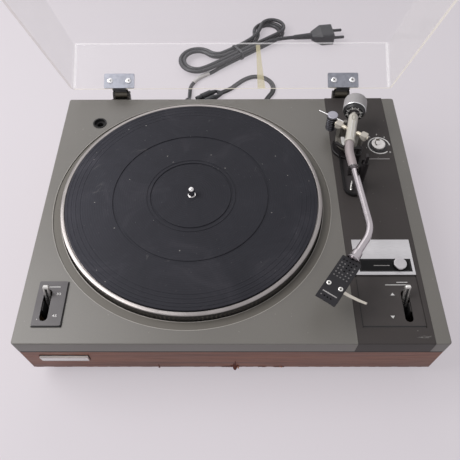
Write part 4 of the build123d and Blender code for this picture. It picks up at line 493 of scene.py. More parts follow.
EXIT_SIGNAL = (44.0, 147.237, 34.0)
signal = [EXIT_SIGNAL] + [(44 + x, WOOD_BACK + y, z) for x, y, z in ((0, 26, 34), (0.5, 44, 25), (2, 60, 11),
    (5, 80, 3), (14, 98.5, 2.4), (22.3, 110.4, 2.4), (23.6, 124.9, 2.4), (17.4, 138, 2.4), (5.6, 146.3, 2.4),
    (-8.9, 147.6, 2.4), (-23, 140.5, 2.4), (-35, 129, 2.4), (-46, 117, 2.4), (-59, 109, 3))]


def flat_lead(name, points, mat):
    """A flat pair of cores that follows the spline, its width kept level."""
    guide = spline_curve("guide", points, 0.5, mat)
    line = curve_line(guide)
    bpy.data.objects.remove(guide)
    turns = [math.radians(d) for d in range(-130, 131, 20)]
    core = [(1.9 + 2.05 * math.cos(a), 2.05 * math.sin(a)) for a in turns]
    shape = core + [(-x, -y) for x, y in core]
    sections = []
    for k, p in enumerate(line):
        t = (line[min(k + 1, len(line) - 1)] - line[max(k - 1, 0)]).normalized()
        side = Vector((t.y, -t.x, 0)).normalized()
        up = side.cross(t)
        sections.append([p / MM + side * x + up * y for x, y in shape])
    return piece(name, *loft(sections), mat, "cabinet", ["signal_lead"], sharp=50), line


signal_lead, signal_line = flat_lead("signal_pair", signal, lead_pvc)


# ---------------------------------------------------------------- stage and light
def seen_directly(nt, factor):
    """The factor for rays from the camera, through clear parts and off shiny ones, and nought for others."""
    rays = nt.nodes.new("ShaderNodeLightPath")
    seen = maths(nt, "MAXIMUM", rays.outputs["Is Camera Ray"], rays.outputs["Is Transmission Ray"])
    return maths(nt, "MULTIPLY", maths(nt, "MAXIMUM", seen, rays.outputs["Is Glossy Ray"]), factor)


def stage_scene():
    m, nt, bsdf = new_material("floor_paper")
    bsdf.inputs["Base Color"].default_value = (0.70, 0.665, 0.69, 1)
    bsdf.inputs["Roughness"].default_value = 0.95
    bsdf.inputs["Specular IOR Level"].default_value = 0.1
    glow = nt.nodes.new("ShaderNodeEmission")
    glow.inputs["Color"].default_value = (0.785, 0.735, 0.785, 1)
    share = seen_directly(nt, 0.56)
    mix = nt.nodes.new("ShaderNodeMixShader")
    nt.links.new(share, mix.inputs["Fac"])
    nt.links.new(bsdf.outputs["BSDF"], mix.inputs[1])
    nt.links.new(glow.outputs["Emission"], mix.inputs[2])
    nt.links.new(mix.outputs["Shader"], nt.nodes["Material Output"].inputs["Surface"])
    me = bpy.data.meshes.new("floor")
    me.from_pydata([(-6, -5, 0), (6, -5, 0), (6, 7, 0), (-6, 7, 0)], [], [(0, 1, 2, 3)])
    floor = link(bpy.data.objects.new("floor", me))
    me.materials.append(m)
    world = bpy.data.worlds.new("studio")
    bpy.context.scene.world = world
    world.use_nodes = True
    wt = world.node_tree
    back = wt.nodes["Background"]
    back.inputs["Color"].default_value = (0.93, 0.92, 0.94, 1)
    wt.links.new(maths(wt, "ADD", seen_directly(wt, 0.67), 0.28), back.inputs["Strength"])
    for name, loc, aim, size, power in (
        ("key", (-0.93, 0.04, 1.12), (-0.1, -0.05, 0), 1.0, 15.5),
        ("fill", (0.3, -1.7, 1.5), (0, -0.3, 0.05), 1.0, 3.2),
        ("back", (-0.3, 1.7, 1.5), (0, 0.1, 0.1), 1.4, 6.5),
    ):
        li = bpy.data.lights.new(name, "AREA")
        li.size = size
        li.energy = power
        li.color = (1.0, 0.985, 0.985)
        o = link(bpy.data.objects.new(name, li))
        o.location = loc
        o.rotation_mode = "QUATERNION"
        o.rotation_quaternion = (Vector(loc) - Vector(aim)).to_track_quat("Z", "Y")


stage_scene()
bpy.context.scene.view_settings.view_transform = "Standard"

# ---------------------------------------------------------------- CAD nodes that stay
def veneer(name, axis):
    """Walnut-grain vinyl with its figure along one axis."""
    m, nt, bsdf = new_material(name)
    vec = coords(nt, scale=tuple(26 if k == axis else 1 for k in range(3)))
    figure = noise(nt, vec, 95, 6, 0.6, 0.8)
    pores = noise(nt, vec, 900, 3, 0.7)
    slow = noise(nt, coords(nt), 9, 2)
    tone = ramp(nt, figure, [(0.3, srgb(84, 39, 21)), (0.45, srgb(117, 62, 36)), (0.58, srgb(134, 76, 45)),
        (0.72, srgb(105, 55, 34))])
    tone = times(nt, tone, ramp(nt, pores, [(0.32, 0.72), (0.5, 1.0)]))
    tone = times(nt, tone, ramp(nt, slow, [(0.35, 0.88), (0.65, 1.08)]))
    dress(nt, bsdf, tone, ramp(nt, pores, [(0.3, 0.5), (0.6, 0.36)]))
    bump(nt, bsdf, pores, 0.35, 0.03)
    bump(nt, bsdf, figure, 0.2, 0.05)
    return m


def chipboard(name):
    m, nt, bsdf = new_material(name)
    vec = coords(nt, scale=(2.5, 2.5, 1))
    flakes = nt.nodes.new("ShaderNodeTexVoronoi")
    flakes.inputs["Scale"].default_value = 420
    nt.links.new(vec, flakes.inputs["Vector"])
    tone = ramp(nt, flakes.outputs["Distance"], [(0.1, srgb(124, 96, 68)), (0.5, srgb(172, 142, 106)),
        (0.9, srgb(196, 168, 130))])
    nt.links.new(tone, bsdf.inputs["Base Color"])
    bsdf.inputs["Roughness"].default_value = 0.85
    bump(nt, bsdf, flakes.outputs["Distance"], 0.5, 0.12)
    return m


def deck_paint(name, colour, rough=0.42, spec=0.4):
    """Satin paint with a fine orange-peel grain and a few dust specks."""
    m, nt, bsdf = new_material(name)
    vec = coords(nt)
    slow = noise(nt, vec, 7, 3)
    fine = noise(nt, vec, 1900, 2)
    specks = noise(nt, vec, 330, 2, 0.5)
    tone = ramp(nt, slow, [(0.3, shade(colour, 0.95)), (0.7, shade(colour, 1.05))])
    tone = times(nt, tone, ramp(nt, fine, [(0.35, 0.93), (0.65, 1.0)]))
    tone = mixed(nt, ramp(nt, specks, [(0.755, 0.0), (0.79, 0.4)]), tone, srgb(200, 198, 192))
    dress(nt, bsdf, tone, ramp(nt, slow, [(0.3, rough - 0.04), (0.7, rough + 0.05)]), spec=spec)
    bump(nt, bsdf, fine, 0.5, 0.02)
    return m


def mat_rubber(name):
    """Ribbed rubber with rubbed, dusty patches, and a painted sheen that lightens it towards the left."""
    m, nt, bsdf = new_material(name)
    vec = coords(nt, centre=(PLATTER[0] * MM, PLATTER[1] * MM, 0))
    w = rings(nt, vec, 120)
    cloud = noise(nt, vec, 16, 7, 0.66, 0.8)
    fleck = noise(nt, vec, 420, 5, 0.7)
    scuff = noise(nt, coords(nt, scale=(3.5, 1, 1), turn=(0, 0, 0.7)), 75, 7, 0.72, 1.2)
    tone = ramp(nt, cloud, [(0.3, srgb(43, 43, 49)), (0.55, srgb(51, 51, 57)), (0.75, srgb(66, 65, 71))])
    # Painted sheen: the tone is lightened towards the left edge and darkened right of the middle
    lean = nt.nodes.new("ShaderNodeSeparateXYZ")
    nt.links.new(vec, lean.inputs["Vector"])
    tone = times(nt, tone, ramp(nt, maths(nt, "ADD", maths(nt, "MULTIPLY", lean.outputs["X"], 3.3), 0.5),
        [(0.0, 1.5), (0.3, 1.03), (0.55, 0.86), (1.0, 0.97)]))
    tone = mixed(nt, ramp(nt, scuff, [(0.63, 0.0), (0.74, 0.3)]), tone, srgb(132, 130, 128))
    tone = mixed(nt, ramp(nt, fleck, [(0.66, 0.0), (0.75, 0.35)]), tone, srgb(150, 148, 146))
    tone = times(nt, tone, ramp(nt, w.outputs["Fac"], [(0.1, 0.93), (0.5, 1.0)]))
    dress(nt, bsdf, tone, ramp(nt, cloud, [(0.3, 0.5), (0.7, 0.7)]), spec=0.14)
    bump(nt, bsdf, w.outputs["Fac"], 0.3, 0.1)
    bump(nt, bsdf, fleck, 0.2, 0.04)
    return m


def clear_plastic(name, alpha, tint, rough=0.06, glow=0.0):
    """Clear acrylic: faint body, clear reflections, hairline scratches. A glow, where one is given, is
    painted light: emission standing in for the light an edge gathers.
    """
    m, nt, bsdf = new_material(name)
    vec = coords(nt)
    scratch = noise(nt, coords(nt, scale=(14, 1, 1), turn=(0, 0.3, 0.5)), 300, 5, 0.7)
    haze = noise(nt, vec, 6, 3)
    bsdf.inputs["Base Color"].default_value = (*tint, 1)
    bsdf.inputs["IOR"].default_value = 1.49
    if glow:
        bsdf.inputs["Emission Color"].default_value = (*tint, 1)
        bsdf.inputs["Emission Strength"].default_value = glow
    nt.links.new(ramp(nt, scratch, [(0.55, rough), (0.75, rough + 0.12)]), bsdf.inputs["Roughness"])
    nt.links.new(ramp(nt, haze, [(0.3, alpha * 0.85), (0.7, alpha * 1.15)]), bsdf.inputs["Alpha"])
    return m


walnut_x = veneer("walnut_along_x", 0)
walnut_y = veneer("walnut_along_y", 1)
board = chipboard("particle_board")
deck_grey = deck_paint("deck_paint", srgb(114, 111, 106), 0.38, 0.6)
panel_black = deck_paint("panel_paint", srgb(72, 68, 67), 0.46, 0.16)
plate_grey = surface("speed_plate_satin", srgb(73, 69, 71), 0.38, vary=0.06, grain=1800, bump_mm=0.01)
cue_black = surface("cue_plate_satin", srgb(75, 71, 70), 0.44, vary=0.06, grain=1800, bump_mm=0.012, spec=0.2)
# Near black: the adaptor cup's own colour, and elsewhere painted shade and painted shadow in gaps, slots,
# under plates and along edges
black_and_painted_shade = surface("black_paint_and_shade", srgb(20, 19, 20), 0.7, vary=0.1)
silver_plate = brushed("plate_silver", srgb(214, 212, 214), 0.4)
badge_silver = brushed("badge_silver", srgb(242, 240, 238), 0.36)
platter_metal = turned_metal("platter_turned", srgb(156, 151, 149), PLATTER, 0.34)
dark_band_painted_shade = surface("platter_side_painted_shade", srgb(48, 46, 45), 0.5, vary=0.1)
dot_metal = surface("strobe_dots", srgb(150, 148, 145), 0.35, metal=0.6, vary=0.05)
rubber_mat = mat_rubber("mat_rubber")
cap_silver = surface("cap_silver", srgb(168, 167, 176), 0.42, metal=0.7, vary=0.04, grain=1500, bump_mm=0.01)
steel = surface("steel_plain", srgb(176, 174, 172), 0.36, metal=1.0, vary=0.06, grain=1500, bump_mm=0.01)
zinc = surface("zinc_plated", srgb(147, 149, 158), 0.4, metal=0.75, vary=0.16, blotch=210, grain=1200,
    bump_mm=0.02)
chrome = surface("chrome", srgb(205, 203, 203), 0.16, metal=1.0, vary=0.02, grain=2400, bump_mm=0.004)
tube_metal = surface("arm_tube_metal", srgb(180, 174, 177), 0.2, metal=1.0, vary=0.02, grain=2200,
    bump_mm=0.002)
satin_tube = surface("arm_tube_satin", srgb(168, 158, 159), 0.5, metal=0.35, vary=0.02, grain=2200,
    bump_mm=0.002)
knob_metal = turned_metal("knob_turned", srgb(206, 203, 201), KNOB, 0.4, 1500, 0.4)
button_metal = turned_metal("button_turned", srgb(196, 193, 195), BUTTON, 0.3, 1700, 0.4)
lever_metal = surface("lever_plated", srgb(226, 224, 220), 0.25, metal=0.9, vary=0.04, grain=1800,
    bump_mm=0.01)
cream = surface("cream_plastic", srgb(214, 210, 200), 0.2, vary=0.05, grain=1400, bump_mm=0.012, dust=0.12)
cream_block = surface("cream_blocks", srgb(200, 194, 184), 0.4, vary=0.06, grain=1400, bump_mm=0.012)
base_grey = surface("yoke_disc_grey", srgb(114, 111, 105), 0.42, metal=0.3, vary=0.08)
weight_grey = surface("weight_paint", srgb(172, 169, 170), 0.5, vary=0.05, grain=1600, bump_mm=0.015)
dial_black = surface("dial_black", srgb(24, 23, 25), 0.42, vary=0.1, grain=1500)
soft_black = surface("arm_base_black", srgb(34, 31, 32), 0.42, vary=0.12, grain=1200, dust=0.1, spec=0.3)
tray_grey = surface("tray_grey", srgb(58, 55, 56), 0.5, vary=0.08, spec=0.25)
head_dark = surface("headshell_charcoal", srgb(45, 44, 47), 0.4, vary=0.07, grain=1800, spec=0.2)
cartridge_black = surface("cartridge_black", srgb(26, 26, 28), 0.25, vary=0.06, grain=2000, bump_mm=0.006)
stylus_grey = surface("stylus_grey", srgb(150, 149, 146), 0.45, vary=0.06)
brass = surface("pale_brass_pins", srgb(226, 218, 200), 0.28, metal=0.7, vary=0.05)
hinge_black = surface("hinge_black", srgb(34, 31, 29), 0.4, metal=0.2, vary=0.12)
screw_bright = surface("screw_bright", srgb(226, 226, 228), 0.22, metal=0.9, vary=0.03, bump_mm=0.004)
hinge_dark = surface("hinge_bronze", srgb(58, 54, 50), 0.42, metal=0.5, vary=0.16, dust=0.1)
foot_black = surface("foot_plastic", srgb(34, 33, 34), 0.55, vary=0.12, dust=0.15)
pad_rubber = surface("foot_rubber", srgb(28, 28, 28), 0.8, vary=0.15, dust=0.2)
belt_rubber = surface("belt_rubber", srgb(30, 30, 31), 0.7)
nylon = surface("gear_nylon", srgb(200, 198, 188), 0.5, vary=0.05)
motor_steel = surface("motor_steel", srgb(150, 150, 150), 0.4, metal=0.9, vary=0.08)
band_white = surface("band_white", srgb(216, 214, 212), 0.5, vary=0.05, grain=700)
# Olive grey: the hinge rolls' own colour, and painted shade on the strobe dots, the knob's face and the
# screws' cross recesses
olive_and_painted_shade = surface("olive_paint_and_shade", srgb(86, 80, 70), 0.45, metal=0.3, vary=0.1)
side_dark = surface("side_weight_dark", srgb(96, 96, 102), 0.27, metal=1.0, vary=0.08)
tray_black = surface("tray_wall_black", srgb(18, 17, 18), 0.5, vary=0.08, spec=0.3)
# White: print, and painted highlight streaks on the sleeve
white_ink_and_highlight = surface("white_ink_and_highlight", srgb(232, 231, 229), 0.5, vary=0.04)
ink_dim = surface("ink_dim", srgb(168, 165, 164), 0.5, vary=0.04)
# Black: the nut gasket's own colour, and painted shade in the headshell screws' hollows
black_and_slot_shade = surface("black_and_slot_shade", srgb(22, 21, 22), 0.5, vary=0.08)
port_shade = surface("sleeve_port_shade", srgb(162, 160, 146), 0.4, vary=0.05)
gloss_black = surface("inlay_black", srgb(24, 24, 25), 0.4, vary=0.05, bump_mm=0.003, spec=0.12)
eyelet_grey = surface("eyelet_grey", srgb(116, 114, 114), 0.5, vary=0.04)
ledge_painted_shade = deck_paint("deck_ledge_shade_paint", srgb(108, 104, 97))
edge_highlight_paint = surface("deck_edge_painted_highlight", srgb(170, 166, 160), 0.4, vary=0.1, grain=500)
splinter_pale = surface("splinter_pale", srgb(206, 148, 112), 0.7, vary=0.2, grain=900)
lid_clear = clear_plastic("lid_acrylic", 0.045, (0.84, 0.82, 0.84))
side_wall_painted_sheen = clear_plastic("lid_side_painted_reflection", 0.11, (0.86, 0.84, 0.81))
# Painted glow: the rims and folds emit light to stand in for the light edge-lit acrylic gathers
rim_painted_glow = clear_plastic("lid_rim_painted_glow", 0.62, (0.95, 0.89, 0.76), 0.2, 0.5)
tan_rim_painted_glow = clear_plastic("lid_rim_tan_painted_glow", 0.36, (0.62, 0.54, 0.47), 0.15, 0.25)
fold_painted_glow = clear_plastic("lid_fold_painted_glow", 0.2, (0.95, 0.94, 0.95), 0.12, 0.3)
tape_yellow = clear_plastic("tape_yellow", 0.42, srgb(238, 228, 186), 0.3)

FINISH = {walnut_x: ("plinth_front", "plinth_back"), walnut_y: ("plinth_left", "plinth_right"),
    board: ("corner_blocks", "bottom_board"), deck_grey: ("deck_panel",), panel_black: ("arm_panel",),
    silver_plate: ("name_plate",), cue_black: ("cue_plate",), plate_grey: ("speed_plate",),
    badge_silver: ("badge_plate",), black_and_painted_shade: ("adaptor_socket",), platter_metal: ("platter",),
    rubber_mat: ("platter_mat",), chrome: ("spindle", "lateral_rod"),
    steel: ("bottom_screws", "hinge_screws"), zinc: ("hinge_plates",), hinge_dark: ("hinge_brackets",),
    foot_black: ("feet",), pad_rubber: ("foot_pads",), motor_steel: ("motor", "bearing_housing"),
    brass: ("motor_pulley", "pivot_pins"), belt_rubber: ("drive_belt",),
    nylon: ("belt_shifter", "return_gear"), soft_black: ("arm_base", "lift_bar", "lift_housing", "arm_rest",
    "rest_latch"), cream_block: ("arm_yoke",), cream: ("rear_sleeve", "finger_lift"),
    tube_metal: ("arm_tube", "locking_nut"), weight_grey: ("counterweight", "lateral_weight"),
    dial_black: ("weight_dial",), head_dark: ("headshell",), cartridge_black: ("cartridge",),
    stylus_grey: ("stylus",), button_metal: ("return_button",), lever_metal: ("cue_lever", "speed_lever",
    "headshell_screws"), knob_metal: ("anti_skate_knob",), lid_clear: ("lid_shell",),
    plug_pvc: ("mains_plug", "cord_reliefs", "phono_plugs"), cord_pvc: ("mains_cord", "mains_hank",
    "cord_tie"), lead_pvc: ("signal_lead",),}
BEVEL = {
    "plinth_front": 0.5, "plinth_back": 0.5, "plinth_left": 0.5, "plinth_right": 0.5, "name_plate": 0.15,
    "speed_plate": 0.3, "arm_panel": 0.25, "badge_plate": 0.2, "hinge_plates": 0.2, "arm_yoke": 0.5,
    "finger_lift": 0.25, "cartridge": 0.3, "arm_rest": 0.3, "lift_bar": 0.3, "hinge_brackets": 0.2,
}


def dress_nodes():
    for mat, names in FINISH.items():
        for n in names:
            me = nodes[n].data
            me.materials.clear()
            me.materials.append(mat)
            me.polygons.foreach_set("material_index", [0] * len(me.polygons))
    for n, width in BEVEL.items():
        soften(nodes[n], width)


def second_finish(node, mat, test):
    """Another finish on the faces of a CAD node that pass the test on their middle and normal."""
    me = nodes[node].data
    me.materials.append(mat)
    k = len(me.materials) - 1
    for p in me.polygons:
        if test(p.center / MM, p.normal):
            p.material_index = k


def from_spindle(c):
    return (c.xy - Vector(PLATTER)).length


def above_hinge(c):
    """How far a point of the open lid lies along it from its hinge, near enough to tell its rim."""
    return (c - HINGE).dot(Vector((0, 0.9, 0.435)))


dress_nodes()
ROD_POST = Vector((138.24, 65.8))
second_finish("arm_yoke", base_grey, lambda c, n: c.z < 106 or (c.xy - ROD_POST).length < 3 or
    (c.z < 116 and (c - PIVOT).xy.length > 9))
# Painted shade: the deck's faces inside the platter well are painted black for the shade in the gap round the
# platter
second_finish("deck_panel", black_and_painted_shade, lambda c, n: from_spindle(c) < WELL_R and 70 < c.z < 88.2)
# Painted shade: the ledge round the well is painted darker than the deck for the shade of its recess
second_finish("deck_panel", ledge_painted_shade, lambda c, n: from_spindle(c) < LEDGE_R and n.z > 0.9
    and 88.2 < c.z < 88.5)
# Painted shadow and shade: the plates' sides and slot walls are black for the shadow along their edges and
# the shade in their slots
second_finish("speed_plate", black_and_painted_shade, lambda c, n: n.z < 0.3)
second_finish("cue_plate", black_and_painted_shade, lambda c, n: n.z < 0.3)
second_finish("arm_base", tray_grey, lambda c, n: n.z > 0.9 and c.z < 92.5 and c.y < 46)
# Painted reflection: the side walls get a denser veil than the top, standing in for their stronger reflection
# at a glancing view
second_finish("lid_shell", side_wall_painted_sheen, lambda c, n: abs(n.x) > 0.9)
# Painted glow: the rim's faces take the glowing acrylic
second_finish("lid_shell", rim_painted_glow, lambda c, n: n.y < -0.85 and above_hinge(c) < 5)
second_finish("lid_shell", tan_rim_painted_glow, lambda c, n: n.y < -0.85 and c.x < -207.5 and above_hinge(c) < 5)
second_finish("hinge_plates", olive_and_painted_shade, lambda c, n: (c - HINGE).yz.length < 7)


def lid_matrix():
    """Places closed-lid coordinates on the lid as it stands open."""
    turn = Matrix.Rotation(-LID_OPEN, 4, "X")
    return Matrix.Translation(HINGE) @ turn @ Matrix.Translation(-HINGE)


LID = lid_matrix()


def arm_matrix():
    a, tilt = ARM_TURN, ARM_TILT
    back = Vector((math.sin(a), math.cos(a), 0))
    ex = Vector((math.cos(a), -math.sin(a), 0))
    ey = back * math.cos(tilt) - Vector((0, 0, math.sin(tilt)))
    ez = back * math.sin(tilt) + Vector((0, 0, math.cos(tilt)))
    m = Matrix((ex, ey, ez)).transposed().to_4x4()
    m.translation = PIVOT
    return m


ARM = arm_matrix()
second_finish("arm_tube", satin_tube, lambda c, n: (ARM.inverted() @ Vector(c)).y > -51.5)
AHEAD = ARM.to_3x3() @ Vector((math.sin(REAR_TURN), -math.cos(REAR_TURN), 0))
REAR = frame_at(PIVOT, (0, 0, 1), AHEAD)


def part_of(curve, wide=1.0, up=0.0):
    """The points and faces that a curve makes. The curve itself goes."""
    o = link(bpy.data.objects.new("curve_guide", curve))
    bpy.context.view_layer.update()
    me = bpy.data.meshes.new_from_object(o)
    verts = [(v.co.x * wide, v.co.y, v.co.z + up) for v in me.vertices]
    faces = [tuple(p.vertices) for p in me.polygons]
    bpy.data.objects.remove(o)
    bpy.data.meshes.remove(me)
    bpy.data.curves.remove(curve)
    return verts, faces


def label(name, text, size, m, body, wide=1.0):
    """Plain white figures, their middle at the origin of m, in millimetres."""
    cu = bpy.data.curves.new(name, "FONT")
    cu.body = text
    cu.size = size
    cu.extrude = 0.04
    cu.align_x, cu.align_y = "CENTER", "CENTER"
    cu.resolution_u = 3
    piece(name, *put(m, part_of(cu, wide)), white_ink_and_highlight, body, sharp=30)


def bar(cx, cy, w, h, z, t=0.08):
    return prism(rounded(cx, cy, w, h, min(w, h) * 0.3, 3), z, z + t)


def triangle(cx, cy, w, h, z, t=0.08):
    return prism([(cx - w / 2, cy - h / 2), (cx + w / 2, cy - h / 2), (cx, cy + h / 2)], z, z + t)


def band(r0, r1, a0, a1, z0, z1, n=48):
    """A flat arc between two radii, angles in degrees."""
    arc = [math.radians(a0 + (a1 - a0) * k / n) for k in range(n + 1)]
    outer = [(r1 * math.cos(a), r1 * math.sin(a)) for a in arc]
    inner = [(r0 * math.cos(a), r0 * math.sin(a)) for a in reversed(arc)]
    return prism(outer + inner, z0, z1)


# Platter, its dotted side, and the mat
def platter_pieces():
    here = at(*PLATTER)
    body = [(4.5, 95.4), (112, 95.4), (130, 94.6), (143.6, 92.5), (144.4, 80.6), (147.9, 80.6), (148.6, 81.2),
        (148.6, 97.4), (148.7, 97.7), (148.7, 98.5), (148.2, 99.2), (147.2, 99.6), (145.0, 99.6),
        (144.4, 99.3), (144.1, 97.0), (4.5, 96.9)]
    piece("platter_turned", *put(here, ring(body, 288)), platter_metal, "platter", ["platter"], sharp=24)
    # Painted shade: the band over the platter's side is dark for the shade of the well it turns in
    piece("platter_band_painted_shade", *put(here, ring([(148.2, 81.4), (148.72, 81.4), (148.72, 97.0), (148.2, 97.0)],
        288)), dark_band_painted_shade, "platter", sharp=40)
    verts, faces = [], []
    for row, count in ((84.2, 216), (87.4, 198), (90.6, 216), (93.8, 198)):
        for k in range(count):
            a, half, b = TAU * k / count, 0.0052, len(verts)
            for r, w, h in ((148.7, 1.0, 0.8), (148.95, 0.72, 0.55)):
                for s, t in ((-1, -1), (1, -1), (1, 1), (-1, 1)):
                    turn = a + s * half * w
                    verts.append((r * math.cos(turn), r * math.sin(turn), row + t * h))
            faces += [(b + i, b + (i + 1) % 4, b + 4 + (i + 1) % 4, b + 4 + i) for i in range(4)]
            faces.append((b + 4, b + 5, b + 6, b + 7))
    # Painted shade: the strobe dots are dimmed to suit the shaded band
    piece("strobe_dots", *put(here, (verts, faces)), olive_and_painted_shade, "platter", sharp=20)
    top = [(4.5, 97.0), (4.5, 100.2), (4.9, MAT_TOP)]
    for r, half, deep in ((46, 1.2, 0.9), (50.8, 0.5, 0.5), (88.5, 1.5, 0.9)):
        top += [(r - half - 0.25, MAT_TOP), (r - half, 100.3), (r - half + 0.1, MAT_TOP - deep),
                (r + half - 0.1, MAT_TOP - deep), (r + half, 100.3), (r + half + 0.25, MAT_TOP)]
    for r in (126.0, 131.0, 136.0):
        top += [(r - 0.35, MAT_TOP), (r, 100.25), (r + 0.35, MAT_TOP)]
    top += [(139.6, MAT_TOP), (139.9, 100.2), (140.3, 100.2), (140.6, MAT_TOP), (142.8, MAT_TOP),
        (143.35, 100.2), (143.5, 99.7), (143.5, 97.0)]
    piece("mat_ribbed", *put(here, ring(top, 240)), rubber_mat, "platter", ["platter_mat"], sharp=24)
    flakes = []
    for k in range(34):
        a, r = rng.uniform(0, TAU), 140 * math.sqrt(rng.random())
        w, turn = rng.uniform(0.25, 0.9), rng.uniform(0, TAU)
        quad = [(w * math.cos(turn + t), w * rng.uniform(0.3, 1) * math.sin(turn + t))
            for t in (0, 1.4, 3.1, 4.6)]
        flakes.append(prism([(r * math.cos(a) + x, r * math.sin(a) + y) for x, y in quad], MAT_TOP, MAT_TOP +
            0.08))
    piece("mat_flecks", *put(here, merged(*flakes)), dot_metal, "platter", sharp=20)


platter_pieces()


# Plates on the deck
def lever_piece(name, x, node):
    """A lever's tab, root and slot, with the root and the slot's back painted black as shade. The lever is a
    body with the name of its node.
    """
    m = frame_at((x, -161.563, 65.3), (1, 0, 0),
        (0, math.sin(LEVER_LEAN), math.cos(LEVER_LEAN)))
    u = [(-3, 1.5), (-3, -1.2), (-2.6, -1.6), (-1.25, -1.6), (-1.05, -1.4), (-1.05, 0.2), (1.05, 0.2),
        (1.05, -1.4), (1.25, -1.6), (2.6, -1.6), (3, -1.2), (3, 1.5), (2.7, 1.6), (-2.7, 1.6)]
    full = [(-3, 1.2), (-3, -1.2), (-2.6, -1.6), (2.6, -1.6), (3, -1.2), (3, 1.2), (2.6, 1.6), (-2.6, 1.6)]
    tip = loft([[(px * k, py * k, z) for px, py in full] for z, k in ((37.5, 1.0), (39.6, 1.0), (40.4, 0.9),
        (40.9, 0.7))])
    hub = put(frame_at((-4, 0, 0), (0, 0, 1), (1, 0, 0)), ring([(1.6, 0), (3.9, 0), (3.9, 8), (1.6, 8)], 32))
    piece(name, *put(m, merged(prism(u, 14, 37.5), tip)), lever_metal, node, [node], sharp=30)
    # Painted shade: the root below the plate and the box in the slot are black for the shade there
    piece(name + "_root_in_shade", *put(m, merged(prism(full, 3.2, 14), hub)), black_and_painted_shade, node, sharp=30)
    piece(name + "_slot", *put(m, box(-1.05, 0.05, 14.5, 1.05, 0.25, 37.4)), black_and_painted_shade, node)


lever_piece("cue_lever_tab", 179.65, "cue_lever")
lever_piece("speed_lever_tab", -188.15, "speed_lever")


def plate_marks():
    # Painted highlight: two light rings on the edges of the well stand in for the light those edges catch
    edges = merged(ring([(150.3, 88.2), (151.2, 88.2), (151.1, 88.4), (150.4, 88.4)], 240),
        ring([(159.5, 89.2), (160.1, 89.2), (160.1, 89.35), (159.5, 89.35)], 240))
    piece("well_edge_highlights", *put(at(*PLATTER), edges), edge_highlight_paint, "cabinet", sharp=60)
    # Painted shadow: a dark strip along the front stands in for the shadow line between deck and wood
    piece("front_gap_painted_shadow", *box(-213, -202.3, 66.4, 213, -201.5, 69.25), black_and_painted_shade, "cabinet")
    piece("speed_plate_rule", *bar(-182.4, -141.2, 11.5, 0.7, PLATE_TOP), white_ink_and_highlight, "cabinet")
    piece("speed_plate_dot", *put(at(-194.2, -177.2), prism(rounded(0, 0, 0.9, 0.9, 0.44, 3), PLATE_TOP,
        91.38)), white_ink_and_highlight, "cabinet")
    label("speed_figures_fast", "45", 3.7, at(-177.2, -173.5, 91.34), "cabinet", 1.4)
    label("speed_figures_slow", "33", 3.7, at(-177.1, -149.3, 91.34), "cabinet", 1.4)
    # Painted shadow: dark strips along the plate's front and right edges stand in for the shadow it casts
    piece("speed_plate_painted_shadow", *merged(box(-199.3, -185.0, DECK_TOP, -169.0, -184.05, 90.6),
        box(-169.8, -185.0, DECK_TOP, -169.0, -134.6, 90.6)), black_and_painted_shade, "cabinet")
    piece("cue_marks", *merged(bar(179.1, -134.6, 11.5, 0.8, CUE_TOP), bar(171.9, -137.6, 21.5, 0.8, CUE_TOP),
        triangle(167.0, -148.2, 4.6, 3.0, CUE_TOP), triangle(163.2, -173.7, 4.6, -3.0, CUE_TOP)), white_ink_and_highlight,
        "cabinet")
    piece("cue_plate_shadow_line", *merged(box(131.6, -184.6, CUE_TOP, 194.8, -183.1, 88.36),
        box(131.6, -183.2, CUE_TOP, 132.3, -131.0, 88.36)), black_and_painted_shade, "cabinet")
    x0, x1, y0, y1 = 136.65, 192.25, -122.96, -107.36
    piece("name_inlay", *prism(rounded((x0 + x1) / 2, (y0 + y1) / 2, x1 - x0, y1 - y0, 0.5, 3), 90.1, 90.42),
          gloss_black, "cabinet", bevel=0.08)
    line = []
    for a, b, c, d in ((x0 + 1.3, y0 + 1.2, x1 - 1.3, y0 + 1.45), (x0 + 1.3, y1 - 1.45, x1 - 1.3, y1 - 1.2),
            (x0 + 1.3, y0 + 1.2, x0 + 1.55, y1 - 1.2), (x1 - 1.55, y0 + 1.2, x1 - 1.3, y1 - 1.2)):
        line.append(box(a, b, 90.4, c, d, 90.46))
    piece("inlay_hairline", *merged(*line), plate_grey, "cabinet")
    piece("inlay_rule", *bar(160.6, -115.6, 17.0, 0.7, 90.4), ink_dim, "cabinet")
    scuffs = []
    for k in range(9):
        x, y = rng.uniform(187, 197.8), rng.uniform(-198.0, -194.4)
        w, a = rng.uniform(1.5, 6.5), rng.uniform(-0.25, 0.1)
        dx, dy = w * math.cos(a), w * math.sin(a)
        scuffs.append(prism([(x - dx, y - dy), (x, y - dy * 0.2 - 0.16), (x + dx * 0.4, y + dy),
            (x, y + 0.16)], PANEL_TOP, 89.64))
    piece("panel_scuffs", *merged(*scuffs), dot_metal, "cabinet")
    here = at(184.4, 55.6)
    piece("skate_scale", *put(here, band(12.4, 13.9, 2, 312, PANEL_TOP, 89.7)), white_ink_and_highlight, "cabinet")
    for k, (dx, dy) in enumerate(((196.6, 44.6), (168.4, 52.0), (174.6, 70.2), (184.0, 73.9), (193.0, 69.6))):
        label(f"skate_figure_{k}", str(k), 3.3, at(dx, dy, 89.65), "cabinet", 1.25)
    piece("skate_rule", *bar(180.6, 33.8, 27.0, 1.0, PANEL_TOP), ink_dim, "cabinet")


plate_marks()


